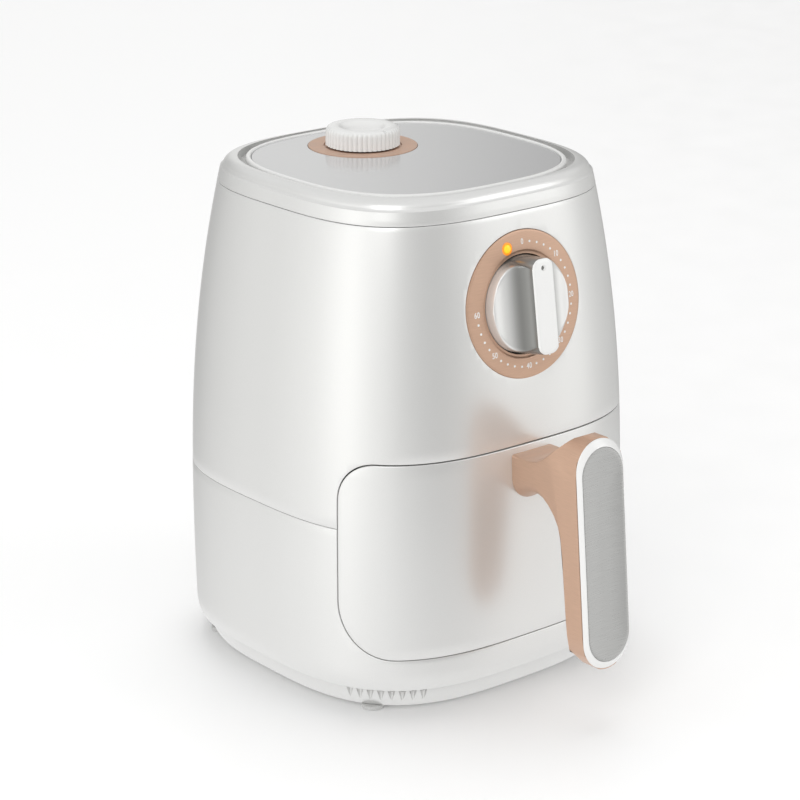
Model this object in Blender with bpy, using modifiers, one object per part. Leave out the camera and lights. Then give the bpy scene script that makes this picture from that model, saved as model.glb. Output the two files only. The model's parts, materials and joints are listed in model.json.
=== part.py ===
"""Compact air fryer: pull-out drawer with a handle, twist timer on the front, temperature dial on the lid.

Metres, +Z up, front towards -Y. The origin is on the floor, at the centre of the bounding box.
Shapes are laid out about the housing's own vertical axis, and the empty "air_fryer" sets that axis
behind the origin, because the handle reaches further forward than the rear gland reaches back.
"""

import math

import bmesh
import bpy
from mathutils import Euler, Vector

MM = 0.001
GAP = 0.3 * MM

# Housing outline: a rounded square whose half width follows a smooth curve of the height.
HEIGHT = 265 * MM
MAX_HALF_WIDTH = 101.3 * MM
WIDEST_Z = 70 * MM
TOP_DROP, TOP_CURVE = 17.8 * MM, 2.33
BOTTOM_DROP, BOTTOM_CURVE = 0.7 * MM, 2.0
DEPTH_RATIO = 0.995
CORNER_LOW, CORNER_HIGH = 3.07, 3.22
SEGMENTS = 56
WALL = 2.5 * MM

# Levels
TRAY_BOTTOM_Z = 2.4 * MM
CREASE_Z = 13.6 * MM
SIDE_SEAM_Z = 99.7 * MM
COLLAR_SEAM_Z = 252.6 * MM
BOTTOM_TURN_HEIGHT, BOTTOM_TURN_INSET = 10 * MM, 2.5 * MM
RIM_RADIUS = 5.5 * MM

# Drawer front, as it lies on the housing's surface
DRAWER_LOW_Z, DRAWER_HIGH_Z = 31.7 * MM, 135.3 * MM
DRAWER_HALF_ARC = 110 * MM
DRAWER_TOP_RADIUS, DRAWER_BOTTOM_RADIUS = 20 * MM, 30 * MM
DRAWER_GAP = 0.6 * MM

# Pan, tray and cooking chamber
PAN_HALF_WIDTH, PAN_FRONT_Y, PAN_BACK_Y = 79 * MM, -74 * MM, 79 * MM
PAN_LOW_Z, PAN_HIGH_Z = 33 * MM, 124 * MM
PAN_WALL, PAN_CORNER, PAN_LIP = 1.2 * MM, 24 * MM, 3.4 * MM
TRAY_Z, TRAY_THICK, TRAY_HALF = 45 * MM, 1.8 * MM, 71 * MM
CHAMBER_HALF, CHAMBER_LOW_Z, CHAMBER_HIGH_Z = 85.5 * MM, 23 * MM, 150 * MM
CHAMBER_FRONT_Y, CHAMBER_BACK_Y, SHEET = -58 * MM, 84 * MM, 1 * MM
WELL_RADIUS, WELL_TOP_Z = 70 * MM, 175 * MM

# Handle
HANDLE_HALF_WIDTH = 16 * MM
HANDLE_LOW_Z, HANDLE_HIGH_Z = 31.5 * MM, 151 * MM
HANDLE_FRONT_Y, HANDLE_FRONT_Z, HANDLE_SLOPE = -148.9 * MM, 133 * MM, 0.089
HANDLE_GRIP_DEPTH, HANDLE_TRIM_DEPTH = 11.3 * MM, 2.4 * MM
BRACKET_HIGH_Z = 131.8 * MM

# Timer dial on the front, in a plane that leans back with the housing
DIAL_Z, DIAL_TILT = 206.5 * MM, math.radians(8.2)
DIAL_RADIUS, DIAL_RECESS, DIAL_PROUD = 37.35 * MM, 27.2 * MM, 0.4 * MM
KNOB_RADIUS, KNOB_DISC, KNOB_HEIGHT, KNOB_BAR = 25 * MM, 5 * MM, 15.8 * MM, 6.9 * MM
LAMP_RADIUS, LAMP_ARM, LAMP_ANGLE = 2.1 * MM, 30.6 * MM, math.radians(-17)

# Temperature dial on the lid
TEMP_Y, TEMP_RING_RADIUS, TEMP_KNOB_RADIUS, TEMP_KNOB_HIGH_Z = 35.3 * MM, 28.8 * MM, 19.7 * MM, 274.8 * MM
TEMP_RIBS = 46
LID_HALF, LID_CORNER, LID_LOW_Z, LID_HIGH_Z = 75.2 * MM, 2.8, 260.8 * MM, 264.6 * MM

# Rear and underside
FOOT_X, FOOT_Y, FOOT_RADIUS = 75.5 * MM, 65 * MM, 6.1 * MM
BOSS_X, BOSS_Y = 58 * MM, 50 * MM
GLAND_X, GLAND_Z, GLAND_RADIUS, GLAND_REACH = 34 * MM, 52 * MM, 8.5 * MM, 6.5 * MM
GRILLE_HALF_ARC, GRILLE_LOW_Z, GRILLE_HIGH_Z = 40 * MM, 172 * MM, 208 * MM

# The housing's axis lies behind the middle of the whole, between the handle's front and the gland's back
HANDLE_REACH, GLAND_BACK = 160.2 * MM, 106.1 * MM
BODY_Y = (HANDLE_REACH - GLAND_BACK) / 2


def clear_scene():
    for obj in list(bpy.data.objects):
        bpy.data.objects.remove(obj, do_unlink=True)


def make_collection(name, hidden=False):
    group = bpy.data.collections.new(name)
    bpy.context.scene.collection.children.link(group)
    group.hide_render = hidden
    return group


def make_material(name, color, roughness, metallic=0.0, alpha=1.0):
    mat = bpy.data.materials.new(name)
    mat.use_nodes = True
    shader = mat.node_tree.nodes["Principled BSDF"]
    shader.inputs["Base Color"].default_value = (*color, 1)
    shader.inputs["Roughness"].default_value = roughness
    shader.inputs["Metallic"].default_value = metallic
    shader.inputs["Alpha"].default_value = alpha
    mat.diffuse_color = (*color, 1)
    return mat


PEARL = ((0.80, 0.80, 0.79), 0.25, 0.0)
SILVER = ((0.62, 0.62, 0.61), 0.3, 0.6)
ROSE_GOLD = ((0.57, 0.38, 0.27), 0.35, 0.3)
STEEL = ((0.55, 0.55, 0.56), 0.3, 1.0)
DARK_STEEL = ((0.18, 0.18, 0.19), 0.35, 1.0)
NONSTICK = ((0.03, 0.03, 0.03), 0.5, 0.0)
BLACK = ((0.02, 0.02, 0.02), 0.6, 0.0)
RUBBER = ((0.75, 0.75, 0.74), 0.8, 0.0)
SILICONE = ((0.05, 0.05, 0.05), 0.7, 0.0)
BRASS = ((0.6, 0.45, 0.2), 0.3, 1.0)
AMBER = ((0.95, 0.55, 0.05), 0.15, 0.0)
CREAM = ((0.7, 0.66, 0.55), 0.6, 0.0)


def add_object(name, mesh, finish, parent, group="air_fryer_parts"):
    obj = bpy.data.objects.new(name, mesh)
    bpy.data.collections[group].objects.link(obj)
    obj.parent = parent
    if finish:
        mesh.materials.append(make_material(name, *finish))
    return obj


def add_mesh(name, form, finish, parent, smooth=35):
    """The bmesh as an object, with its normals facing out and its round faces shaded smooth."""
    bmesh.ops.recalc_face_normals(form, faces=form.faces)
    mesh = bpy.data.meshes.new(name)
    form.to_mesh(mesh)
    form.free()
    mesh.shade_smooth()
    mesh.set_sharp_from_angle(angle=math.radians(smooth))
    return add_object(name, mesh, finish, parent)


def as_cutter(obj):
    bpy.data.collections["air_fryer_parts"].objects.unlink(obj)
    bpy.data.collections["cutters"].objects.link(obj)
    obj.hide_render = True
    obj.display_type = "WIRE"
    return obj


def combine(obj, other, operation="DIFFERENCE"):
    modifier = obj.modifiers.new(f"{operation.lower()} {other.name}", "BOOLEAN")
    modifier.operation = operation
    modifier.object = other
    modifier.solver = "EXACT"
    return obj


def soften(obj, width, segments=2, angle=30):
    modifier = obj.modifiers.new("rounded edges", "BEVEL")
    modifier.width = width
    modifier.segments = segments
    modifier.limit_method = "ANGLE"
    modifier.angle_limit = math.radians(angle)
    return obj


def add_shell(name, form, outward, finish, parent):
    """An open surface as an object, turned so that its face furthest along outward faces that way."""
    bmesh.ops.recalc_face_normals(form, faces=form.faces)
    outermost = max(form.faces, key=lambda face: face.calc_center_median().dot(outward))
    if outermost.normal.dot(outward) < 0:
        bmesh.ops.reverse_faces(form, faces=form.faces)
    mesh = bpy.data.meshes.new(name)
    form.to_mesh(mesh)
    form.free()
    mesh.shade_smooth()
    mesh.set_sharp_from_angle(angle=math.radians(35))
    return add_object(name, mesh, finish, parent)


def thicken(obj, thickness, offset=-1.0):
    modifier = obj.modifiers.new("wall", "SOLIDIFY")
    modifier.thickness = thickness
    modifier.offset = offset
    modifier.use_even_offset = True
    return obj


def box(name, low, high, finish, parent, edge=0.0):
    form = bmesh.new()
    bmesh.ops.create_cube(form, size=1)
    low, high = Vector(low), Vector(high)
    for vert in form.verts:
        vert.co = Vector(low[i] + (vert.co[i] + 0.5) * (high[i] - low[i]) for i in range(3))
    obj = add_mesh(name, form, finish, parent)
    return soften(obj, edge, 1) if edge else obj


def cylinder(name, radius, low, high, finish, parent, segments=24, top_radius=None, edge=0.0):
    """A cylinder or cone along the local Z axis."""
    form = bmesh.new()
    bmesh.ops.create_cone(
        form,
        cap_ends=True,
        segments=segments,
        radius1=radius,
        radius2=radius if top_radius is None else top_radius,
        depth=high - low,
    )
    bmesh.ops.translate(form, verts=form.verts, vec=(0, 0, (low + high) / 2))
    obj = add_mesh(name, form, finish, parent)
    return soften(obj, edge, 1) if edge else obj


def turned(name, profile, finish, parent, segments=32):
    """A profile of (radius, z) points, down its outer side, turned about the local Z axis."""
    mesh = bpy.data.meshes.new(name)
    closed = profile[0][0] > 0
    count = len(profile)
    edges = [(i, i + 1) for i in range(count - 1)] + ([(count - 1, 0)] if closed else [])
    mesh.from_pydata([(radius, 0, z) for radius, z in profile], edges, [])
    obj = add_object(name, mesh, finish, parent)
    screw = obj.modifiers.new("turn", "SCREW")
    screw.steps = screw.render_steps = segments
    screw.use_merge_vertices = True
    screw.merge_threshold = 0.00001
    screw.use_smooth_shade = True
    return obj


def half_width(z):
    """Half of the housing's width at a height."""
    if z >= WIDEST_Z:
        rise = (z - WIDEST_Z) / (HEIGHT - WIDEST_Z)
        return MAX_HALF_WIDTH - TOP_DROP * rise**TOP_CURVE
    fall = (WIDEST_Z - z) / (WIDEST_Z - CREASE_Z)
    return MAX_HALF_WIDTH - BOTTOM_DROP * fall**BOTTOM_CURVE


def corner_power(z):
    return CORNER_LOW + (CORNER_HIGH - CORNER_LOW) * (z - CREASE_Z) / (HEIGHT - CREASE_Z)


def surface_point(angle, z, inset=0.0):
    """The housing's surface at an angle about its axis: 0 is the front (-Y), and positive is towards +X."""
    wide = half_width(z) - inset
    deep = half_width(z) * DEPTH_RATIO - inset
    power = corner_power(z)
    x, y = math.sin(angle), -math.cos(angle)
    reach = (abs(x / wide) ** power + abs(y / deep) ** power) ** (-1 / power)
    return Vector((reach * x, reach * y, z))


def front_depth(x, z):
    """How far the housing's front surface lies before its axis, at x across and z up."""
    power = corner_power(z)
    share = 1 - abs(x / half_width(z)) ** power
    return half_width(z) * DEPTH_RATIO * share ** (1 / power)


def rounded_square(half_x, half_y, power, z, centre_y=0.0, count=SEGMENTS):
    points = []
    for step in range(count):
        angle = 2 * math.pi * (step + 0.5) / count
        x, y = math.cos(angle), math.sin(angle)
        reach = (abs(x / half_x) ** power + abs(y / half_y) ** power) ** (-1 / power)
        points.append(Vector((reach * x, centre_y + reach * y, z)))
    return points


def housing_ring(z, inset=0.0, level=None):
    """One ring of points around the housing. The outline is the one at z; level moves it up or down."""
    angles = [2 * math.pi * (step + 0.5) / SEGMENTS for step in range(SEGMENTS)]
    ring = [surface_point(angle, z, inset) for angle in angles]
    if level is not None:
        for point in ring:
            point.z = level
    return ring


def loft(name, rings, finish, parent, ends="cap", smooth=35):
    """Rings of equal count joined in order. ends: "cap", "open", or "join" (last ring back to the first)."""
    form = bmesh.new()
    rows = [[form.verts.new(point) for point in ring] for ring in rings]
    pairs = list(zip(rows, rows[1:])) + ([(rows[-1], rows[0])] if ends == "join" else [])
    for lower, upper in pairs:
        for i in range(len(lower)):
            k = (i + 1) % len(lower)
            form.faces.new((lower[i], lower[k], upper[k], upper[i]))
    if ends == "cap":
        form.faces.new(list(reversed(rows[0])))
        form.faces.new(rows[-1])
    return add_mesh(name, form, finish, parent, smooth)


def arc_angles():
    """A table of (distance along the surface from the front's centre, angle) at mid height."""
    table, travelled = [(0.0, 0.0)], 0.0
    last = surface_point(0, SIDE_SEAM_Z)
    for step in range(1, 721):
        angle = math.pi * step / 720
        point = surface_point(angle, SIDE_SEAM_Z)
        travelled += (point - last).length
        table.append((travelled, angle))
        last = point
    return table


def angle_at(table, distance):
    for (near, low), (far, high) in zip(table, table[1:]):
        if far >= abs(distance):
            share = (abs(distance) - near) / (far - near)
            return math.copysign(low + share * (high - low), distance)
    return math.copysign(math.pi, distance)


def rounded_outline(half, low, high, low_radius, high_radius, steps):
    """Points around a rectangle with rounded corners, in (across, up)."""
    corners = (
        (half - low_radius, low + low_radius, low_radius, -90),
        (half - high_radius, high - high_radius, high_radius, 0),
        (-half + high_radius, high - high_radius, high_radius, 90),
        (-half + low_radius, low + low_radius, low_radius, 180),
    )
    points = []
    for across, up, radius, start in corners:
        for step in range(steps + 1):
            turn = math.radians(start + 90 * step / steps)
            points.append((across + radius * math.cos(turn), up + radius * math.sin(turn)))
    return points


def wrapped_sheet(form, outline, columns, rows, place):
    """A flat outline cut into a grid of narrow faces, each corner then set on a curved surface by place."""
    form.faces.new([form.verts.new((across, 0, up)) for across, up in outline])
    for levels, normal in ((columns, (1, 0, 0)), (rows, (0, 0, 1))):
        for level in levels:
            bmesh.ops.bisect_plane(
                form,
                geom=form.verts[:] + form.edges[:] + form.faces[:],
                plane_co=Vector(normal) * level,
                plane_no=normal,
                dist=0.00001,
            )
    bmesh.ops.triangulate(form, faces=form.faces[:])
    for vert in form.verts:
        vert.co = place(vert.co.x, vert.co.z)


def spread(low, high, count):
    return [low + (high - low) * (i + 1) / (count + 1) for i in range(count)]


def wrapped_panel(name, half, low, high, radii, cuts, thickness, offset, finish, parent, facing=0.0):
    """A panel with rounded corners lying on the housing's surface. offset -1 builds its thickness inwards."""
    form = bmesh.new()
    table = arc_angles()

    def place(across, up):
        return surface_point(facing + angle_at(table, across), up)

    outline = rounded_outline(half, low, high, *radii, 6)
    wrapped_sheet(form, outline, spread(-half, half, cuts[0]), spread(low, high, cuts[1]), place)
    panel = add_shell(name, form, place(0, (low + high) / 2) * Vector((1, 1, 0)), finish, parent)
    return thicken(panel, thickness, offset)


def empty(name, parent=None, location=(0, 0, 0), rotation=(0, 0, 0)):
    obj = bpy.data.objects.new(name, None)
    bpy.data.collections["air_fryer_parts"].objects.link(obj)
    obj.parent = parent
    obj.location = location
    obj.rotation_euler = Euler(rotation)
    obj.empty_display_size = 0.02
    return obj


def shell_rows(low, high, count):
    return [low + (high - low) * step / count for step in range(count + 1)]


def drawer_opening(root):
    """The opening in the housing, a little larger than the drawer front all round."""
    obj = wrapped_panel(
        "drawer_opening_cutter",
        DRAWER_HALF_ARC + DRAWER_GAP,
        DRAWER_LOW_Z - DRAWER_GAP,
        DRAWER_HIGH_Z + DRAWER_GAP,
        (DRAWER_BOTTOM_RADIUS + DRAWER_GAP, DRAWER_TOP_RADIUS + DRAWER_GAP),
        (33, 3),
        12 * MM,
        0.0,
        None,
        root,
    )
    return as_cutter(obj)


def make_housings(root, dial):
    """Lower and upper housings: one surface parted at the side seam, both cut by the drawer opening."""
    opening = drawer_opening(root)
    rings = []
    for step in range(5):
        turn = math.pi / 2 * step / 4
        z = CREASE_Z + BOTTOM_TURN_HEIGHT * (1 - math.cos(turn))
        rings.append(housing_ring(z, BOTTOM_TURN_INSET * (1 - math.sin(turn))))
    rings += [housing_ring(z) for z in shell_rows(rings[-1][0].z, SIDE_SEAM_Z - GAP / 2, 3)[1:]]
    lower = loft("lower_housing", rings, PEARL, root, "open")
    thicken(lower, WALL)
    combine(lower, opening)
    gland = cylinder("gland_hole_cutter", GLAND_RADIUS - 2 * MM + GAP, -20 * MM, 20 * MM, None, root, 24)
    gland.rotation_euler = (math.pi / 2, 0, 0)
    gland.location = (GLAND_X, MAX_HALF_WIDTH, GLAND_Z)
    combine(lower, as_cutter(gland))

    levels = shell_rows(SIDE_SEAM_Z + GAP / 2, COLLAR_SEAM_Z - GAP / 2, 7)
    upper = loft("upper_housing", [housing_ring(z) for z in levels], PEARL, root, "open")
    thicken(upper, WALL)
    combine(upper, opening)
    hole = cylinder("dial_hole_cutter", DIAL_RADIUS + GAP, -12 * MM, 12 * MM, None, dial, 48)
    hole.rotation_euler = (math.pi / 2, 0, 0)
    combine(upper, as_cutter(hole))
    vent = wrapped_panel(
        "grille_opening_cutter",
        GRILLE_HALF_ARC + GAP,
        GRILLE_LOW_Z - GAP,
        GRILLE_HIGH_Z + GAP,
        (6 * MM, 6 * MM),
        (7, 0),
        12 * MM,
        0.0,
        None,
        root,
        math.pi,
    )
    combine(upper, as_cutter(vent))


def make_collar(root):
    """Top ring with a rounded outer rim, a groove inside it and a ledge that carries the lid panel."""
    base = COLLAR_SEAM_Z + GAP / 2
    rings = [housing_ring(base), housing_ring((base + HEIGHT) / 2 - 1 * MM)]
    for step in range(5):
        turn = math.pi / 2 * step / 4
        z = HEIGHT - RIM_RADIUS * (1 - math.sin(turn))
        rings.append(housing_ring(z, RIM_RADIUS * (1 - math.cos(turn))))
    inner = (
        (5.9, HEIGHT - 0.4 * MM),
        (6.5, HEIGHT - 4.6 * MM),
        (20.0, HEIGHT - 4.6 * MM),
        (20.0, HEIGHT - 6.4 * MM),
        (8.5, HEIGHT - 6.4 * MM),
        (5.5, HEIGHT - 9.0 * MM),
        (4.0, base),
    )
    rings += [housing_ring(HEIGHT, inset * MM, level) for inset, level in inner]
    loft("top_collar", rings, PEARL, root, "join")


def make_lid(root):
    """Glossy lid panel with a raised rounded lip, recessed for the temperature ring."""
    lip = 2.6 * MM
    inner = LID_HALF - lip - 0.4 * MM
    rings = [
        rounded_square(LID_HALF - 0.6 * MM, LID_HALF - 0.6 * MM, LID_CORNER, LID_LOW_Z),
        rounded_square(LID_HALF, LID_HALF, LID_CORNER, LID_HIGH_Z - 1.2 * MM),
        rounded_square(LID_HALF - 0.7 * MM, LID_HALF - 0.7 * MM, LID_CORNER, LID_HIGH_Z),
        rounded_square(LID_HALF - lip, LID_HALF - lip, LID_CORNER, LID_HIGH_Z - 0.1 * MM),
        rounded_square(inner, inner, LID_CORNER, LID_HIGH_Z - 0.6 * MM),
    ]
    lid = loft("lid_panel", rings, SILVER, root)
    recess = cylinder(
        "ring_recess_cutter", TEMP_RING_RADIUS + GAP, LID_HIGH_Z - 1.8 * MM, HEIGHT + 2 * MM, None, root, 48
    )
    recess.location.y = TEMP_Y
    combine(lid, as_cutter(recess))
    hole = cylinder("lid_shaft_hole_cutter", 4.5 * MM, LID_LOW_Z - 5 * MM, HEIGHT, None, root, 20)
    hole.location.y = TEMP_Y
    combine(lid, as_cutter(hole))


def make_temperature_dial(root):
    axis = empty("temperature_axis", root, (0, TEMP_Y, 0))
    low = LID_HIGH_Z - 1.8 * MM + GAP
    top = LID_HIGH_Z + 0.2 * MM
    ring = ((TEMP_RING_RADIUS, top), (TEMP_RING_RADIUS, low), (5 * MM, low), (5 * MM, top))
    turned("temperature_ring", ring, ROSE_GOLD, axis, 48)

    low, high, radius = top + GAP, TEMP_KNOB_HIGH_Z, TEMP_KNOB_RADIUS
    levels = ((0, low), (0, high - MM), (0.9 * MM, high), (4.6 * MM, high), (8 * MM, high - 2.6 * MM))
    rings = []
    for index, (inset, z) in enumerate(levels):
        flute = 0.45 * MM if index < 2 else 0.0
        ring = []
        for step in range(TEMP_RIBS * 2):
            angle = 2 * math.pi * step / (TEMP_RIBS * 2)
            reach = radius - inset - flute * (step % 2)
            ring.append(Vector((reach * math.cos(angle), reach * math.sin(angle), z)))
        rings.append(ring)
    knob = loft("temperature_knob", rings, PEARL, axis)
    notch = box(
        "pointer_notch_cutter",
        (-0.9 * MM, -radius - MM, high - 0.9 * MM),
        (0.9 * MM, -radius + 2.2 * MM, high + MM),
        None,
        axis,
    )
    combine(knob, as_cutter(notch))
    bore = cylinder("temperature_bore_cutter", 3.3 * MM, low - MM, high - 4.5 * MM, None, axis, 20)
    combine(knob, as_cutter(bore))

    cylinder("thermostat_shaft", 3 * MM, 248.8 * MM, high - 4.8 * MM, STEEL, axis, 20)
    cylinder("thermostat_body", 15 * MM, 229 * MM, 248.5 * MM, DARK_STEEL, axis, 28, edge=1 * MM)
    plate = box(
        "thermostat_bracket",
        (-40 * MM, -13 * MM, 252.3 * MM),
        (40 * MM, 13 * MM, 253.5 * MM),
        STEEL,
        axis,
    )
    hole = cylinder("bracket_hole_cutter", 5 * MM, 245 * MM, 258 * MM, None, axis, 20)
    combine(plate, as_cutter(hole))


def dial_surface(across, up, lift, depth):
    """A point of the dial's own frame whose depth is counted from the housing's surface."""
    centre = Vector((0, -front_depth(0, DIAL_Z), DIAL_Z))
    tilt = Euler((-DIAL_TILT, 0, 0)).to_matrix()
    inward = tilt @ Vector((0, 1, 0))
    start = centre + tilt @ Vector((across, 0, up))
    travel = 0.0
    for _ in range(6):
        point = start + inward * travel
        travel += (-front_depth(point.x, point.z) - point.y) / inward.y
    return Vector((across, travel - lift + depth, up))


def make_timer(dial):
    """Dial ring that follows the housing's curve, with a round recess; the knob, its shaft and the works."""
    profile = (
        (DIAL_RADIUS, 0.0, True),
        (DIAL_RADIUS, WALL + DIAL_PROUD + GAP, True),
        (DIAL_RADIUS + 2 * MM, WALL + DIAL_PROUD + GAP + 0.1 * MM, True),
        (DIAL_RADIUS + 2 * MM, WALL + DIAL_PROUD + 1.5 * MM, True),
        (DIAL_RECESS + 1.5 * MM, WALL + DIAL_PROUD + 1.5 * MM, True),
        (DIAL_RECESS + 0.5 * MM, 7 * MM, False),
        (4.5 * MM, 7 * MM, False),
        (4.5 * MM, 5 * MM, False),
        (DIAL_RECESS - 1 * MM, 5 * MM, False),
        (DIAL_RECESS, 0.0, True),
    )
    count = 48
    rings = []
    for radius, depth, follows in profile:
        ring = []
        for step in range(count):
            angle = 2 * math.pi * step / count
            across, up = radius * math.sin(angle), radius * math.cos(angle)
            if follows:
                ring.append(dial_surface(across, up, DIAL_PROUD, depth))
            else:
                ring.append(Vector((across, depth - DIAL_PROUD, up)))
        rings.append(ring)
    ring = loft("timer_ring", rings, ROSE_GOLD, dial, "join")
    across, up = LAMP_ARM * math.sin(LAMP_ANGLE), LAMP_ARM * math.cos(LAMP_ANGLE)
    hole = cylinder("lamp_hole_cutter", LAMP_RADIUS + GAP, -10 * MM, 12 * MM, None, dial, 16)
    hole.rotation_euler = (math.pi / 2, 0, 0)
    hole.location = (across, 0, up)
    combine(ring, as_cutter(hole))
    lens = cylinder("indicator_lens", LAMP_RADIUS, -4.4 * MM, 0.9 * MM, AMBER, dial, 16, edge=0.6 * MM)
    lens.rotation_euler = (math.pi / 2, 0, 0)
    lens.location = (across, 0, up)
    lamp = cylinder("indicator_lamp", 2.6 * MM, 5.2 * MM, 16 * MM, AMBER, dial, 12, edge=0.5 * MM)
    lamp.rotation_euler = (-math.pi / 2, 0, 0)
    lamp.location = (across, 0, up)

    make_timer_knob(dial)
    shaft = cylinder("timer_shaft", 3 * MM, -11 * MM, 8.6 * MM, STEEL, dial, 20)
    shaft.rotation_euler = (-math.pi / 2, 0, 0)
    low, high = 9 * MM, 30 * MM
    box("timer_mechanism", (-20 * MM, low, -20 * MM), (20 * MM, high, 20 * MM), STEEL, dial, 1.5 * MM)
    bell = ((17 * MM, 0), (17 * MM, 4 * MM), (13 * MM, 7.5 * MM), (2 * MM, 8 * MM), (2 * MM, 9 * MM))
    inner = ((13.6 * MM, 8.6 * MM), (18 * MM, 4.5 * MM), (18 * MM, 0))
    profile = [(radius, -z) for radius, z in list(reversed(inner)) + list(reversed(bell))]
    ringer = turned("timer_bell", profile, BRASS, dial, 28)
    ringer.rotation_euler = (math.pi / 2, 0, 0)
    ringer.location = (0, high + GAP, 0)


def make_timer_knob(dial):
    """Round knob with a raised grip bar: its section is swept along the bar and trimmed round."""
    half = KNOB_RADIUS + MM
    section = [(-half, -4.3 * MM), (half, -4.3 * MM), (half, KNOB_DISC)]
    flank = []
    for step in range(7):
        turn = math.pi / 2 * step / 6
        across = KNOB_BAR + (KNOB_RADIUS - 4 * MM - KNOB_BAR) * (1 - math.sin(turn))
        flank.append((across, KNOB_DISC + (KNOB_HEIGHT - KNOB_DISC - 1.2 * MM) * (1 - math.cos(turn))))
    crown = [(KNOB_BAR, KNOB_HEIGHT - 1.2 * MM), (KNOB_BAR - 1 * MM, KNOB_HEIGHT)]
    right = flank[:-1] + crown
    section += right + [(-across, lift) for across, lift in reversed(right)] + [(-half, KNOB_DISC)]
    form = bmesh.new()
    face = form.faces.new([form.verts.new((across, -lift, -half)) for across, lift in section])
    swept = bmesh.ops.extrude_face_region(form, geom=[face])
    bmesh.ops.translate(
        form,
        verts=[item for item in swept["geom"] if isinstance(item, bmesh.types.BMVert)],
        vec=(0, 0, 2 * half),
    )
    knob = add_mesh("timer_knob", form, PEARL, dial)
    trim = cylinder("knob_trim_cutter", KNOB_RADIUS, -3.8 * MM, 30 * MM, None, dial, 56)
    trim.rotation_euler = (math.pi / 2, 0, 0)
    combine(knob, as_cutter(trim), "INTERSECT")
    bore = cylinder("timer_bore_cutter", 3.3 * MM, -8 * MM, 11.5 * MM, None, dial, 20)
    bore.rotation_euler = (math.pi / 2, 0, 0)
    combine(knob, as_cutter(bore))


def make_base_tray(root):
    """Bottom tray with a hollow flare up to the housing, corner air slots and four bosses."""
    low = TRAY_BOTTOM_Z
    high = CREASE_Z - GAP
    outer = ((9.2, low), (7.4, 5.0 * MM), (6.2, 8.5 * MM), (5.6, high))
    inner = ((8.2, high), (8.8, 8.5 * MM), (10.5, low + 2 * MM))
    rings = [housing_ring(CREASE_Z, inset * MM, level) for inset, level in outer + inner]
    tray = loft("base_tray", rings, PEARL, root)
    for index, (x, y) in enumerate(corners(BOSS_X, BOSS_Y)):
        boss = cylinder(f"boss_{index}_join", 5 * MM, low + MM, CHAMBER_LOW_Z - GAP, None, root, 16)
        boss.location = (x, y, 0)
        combine(tray, as_cutter(boss), "UNION")
        hole = cylinder(f"boss_{index}_hole_cutter", 1.8 * MM, low - MM, 18 * MM, None, root, 12)
        hole.location = (x, y, 0)
        combine(tray, as_cutter(hole))
        seat = cylinder(f"boss_{index}_seat_cutter", 3.6 * MM, low - MM, low + 1.8 * MM, None, root, 16)
        seat.location = (x, y, 0)
        combine(tray, as_cutter(seat))
    combine(tray, air_slots(root))


def corners(x, y):
    return ((-x, -y), (x, -y), (-x, y), (x, y))


def air_slots(root):
    """Eight wedge-shaped slots at each corner, wide at the top, as one cutter."""
    form = bmesh.new()
    pitch, top, bottom, half = math.radians(2.95), CREASE_Z + MM, 5.2 * MM, 2.1 * MM
    for corner in range(4):
        for step in range(8):
            angle = math.radians(45 + 90 * corner) + pitch * (step - 3.5)
            out = Vector((math.sin(angle), -math.cos(angle), 0))
            side = Vector((out.y, -out.x, 0))
            ends = []
            for reach in (92 * MM, 130 * MM):
                wedge = (
                    out * reach + side * half + Vector((0, 0, top)),
                    out * reach - side * half + Vector((0, 0, top)),
                    out * reach + Vector((0, 0, bottom)),
                )
                ends.append([form.verts.new(point) for point in wedge])
            near, far = ends
            form.faces.new(near)
            form.faces.new(list(reversed(far)))
            for i in range(3):
                k = (i + 1) % 3
                form.faces.new((near[i], far[i], far[k], near[k]))
    return as_cutter(add_mesh("air_slot_cutter", form, None, root))


def make_underside(root):
    names = ("front_left", "front_right", "rear_left", "rear_right")
    for name, (x, y) in zip(names, corners(FOOT_X, FOOT_Y)):
        foot = cylinder(f"foot_{name}", FOOT_RADIUS, 0, TRAY_BOTTOM_Z - GAP, RUBBER, root, 16, edge=0.5 * MM)
        foot.location = (x, y, 0)
    low = TRAY_BOTTOM_Z
    screw = (
        (0, 15 * MM),
        (1.5 * MM, 14 * MM),
        (1.5 * MM, low + 1.8 * MM - GAP),
        (3.1 * MM, low + 1.8 * MM - GAP),
        (3.1 * MM, low + 0.3 * MM),
        (0, low + 0.3 * MM),
    )
    for name, (x, y) in zip(names, corners(BOSS_X, BOSS_Y)):
        turned(f"base_screw_{name}", screw, DARK_STEEL, root, 12).location = (x, y, 0)


def make_rear(root):
    grille = wrapped_panel(
        "rear_grille",
        GRILLE_HALF_ARC,
        GRILLE_LOW_Z,
        GRILLE_HIGH_Z,
        (5.7 * MM, 5.7 * MM),
        (7, 0),
        2 * MM,
        -1.4,
        PEARL,
        root,
        math.pi,
    )
    count, slot = 5, 3.4 * MM
    for index in range(count):
        z = GRILLE_LOW_Z + (GRILLE_HIGH_Z - GRILLE_LOW_Z) * (index + 0.5) / count
        reach = GRILLE_HALF_ARC - 5 * MM
        hole = box(
            f"grille_slot_{index}_cutter",
            (-reach, 70 * MM, z - slot / 2),
            (reach, 110 * MM, z + slot / 2),
            None,
            root,
        )
        combine(grille, as_cutter(hole))
    wall = front_depth(GLAND_X, GLAND_Z)
    outer, bore = GLAND_RADIUS, 3.4 * MM
    profile = (
        (bore, GLAND_REACH),
        (outer - 2.5 * MM, GLAND_REACH),
        (outer, 3.4 * MM),
        (outer, 0.8 * MM),
        (outer - 2 * MM, 0.8 * MM),
        (outer - 2 * MM, -6 * MM),
        (bore, -6 * MM),
    )
    gland = turned("cord_gland", profile, BLACK, root, 24)
    gland.rotation_euler = (-math.pi / 2, 0, 0)
    gland.location = (GLAND_X, wall, GLAND_Z)


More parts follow.
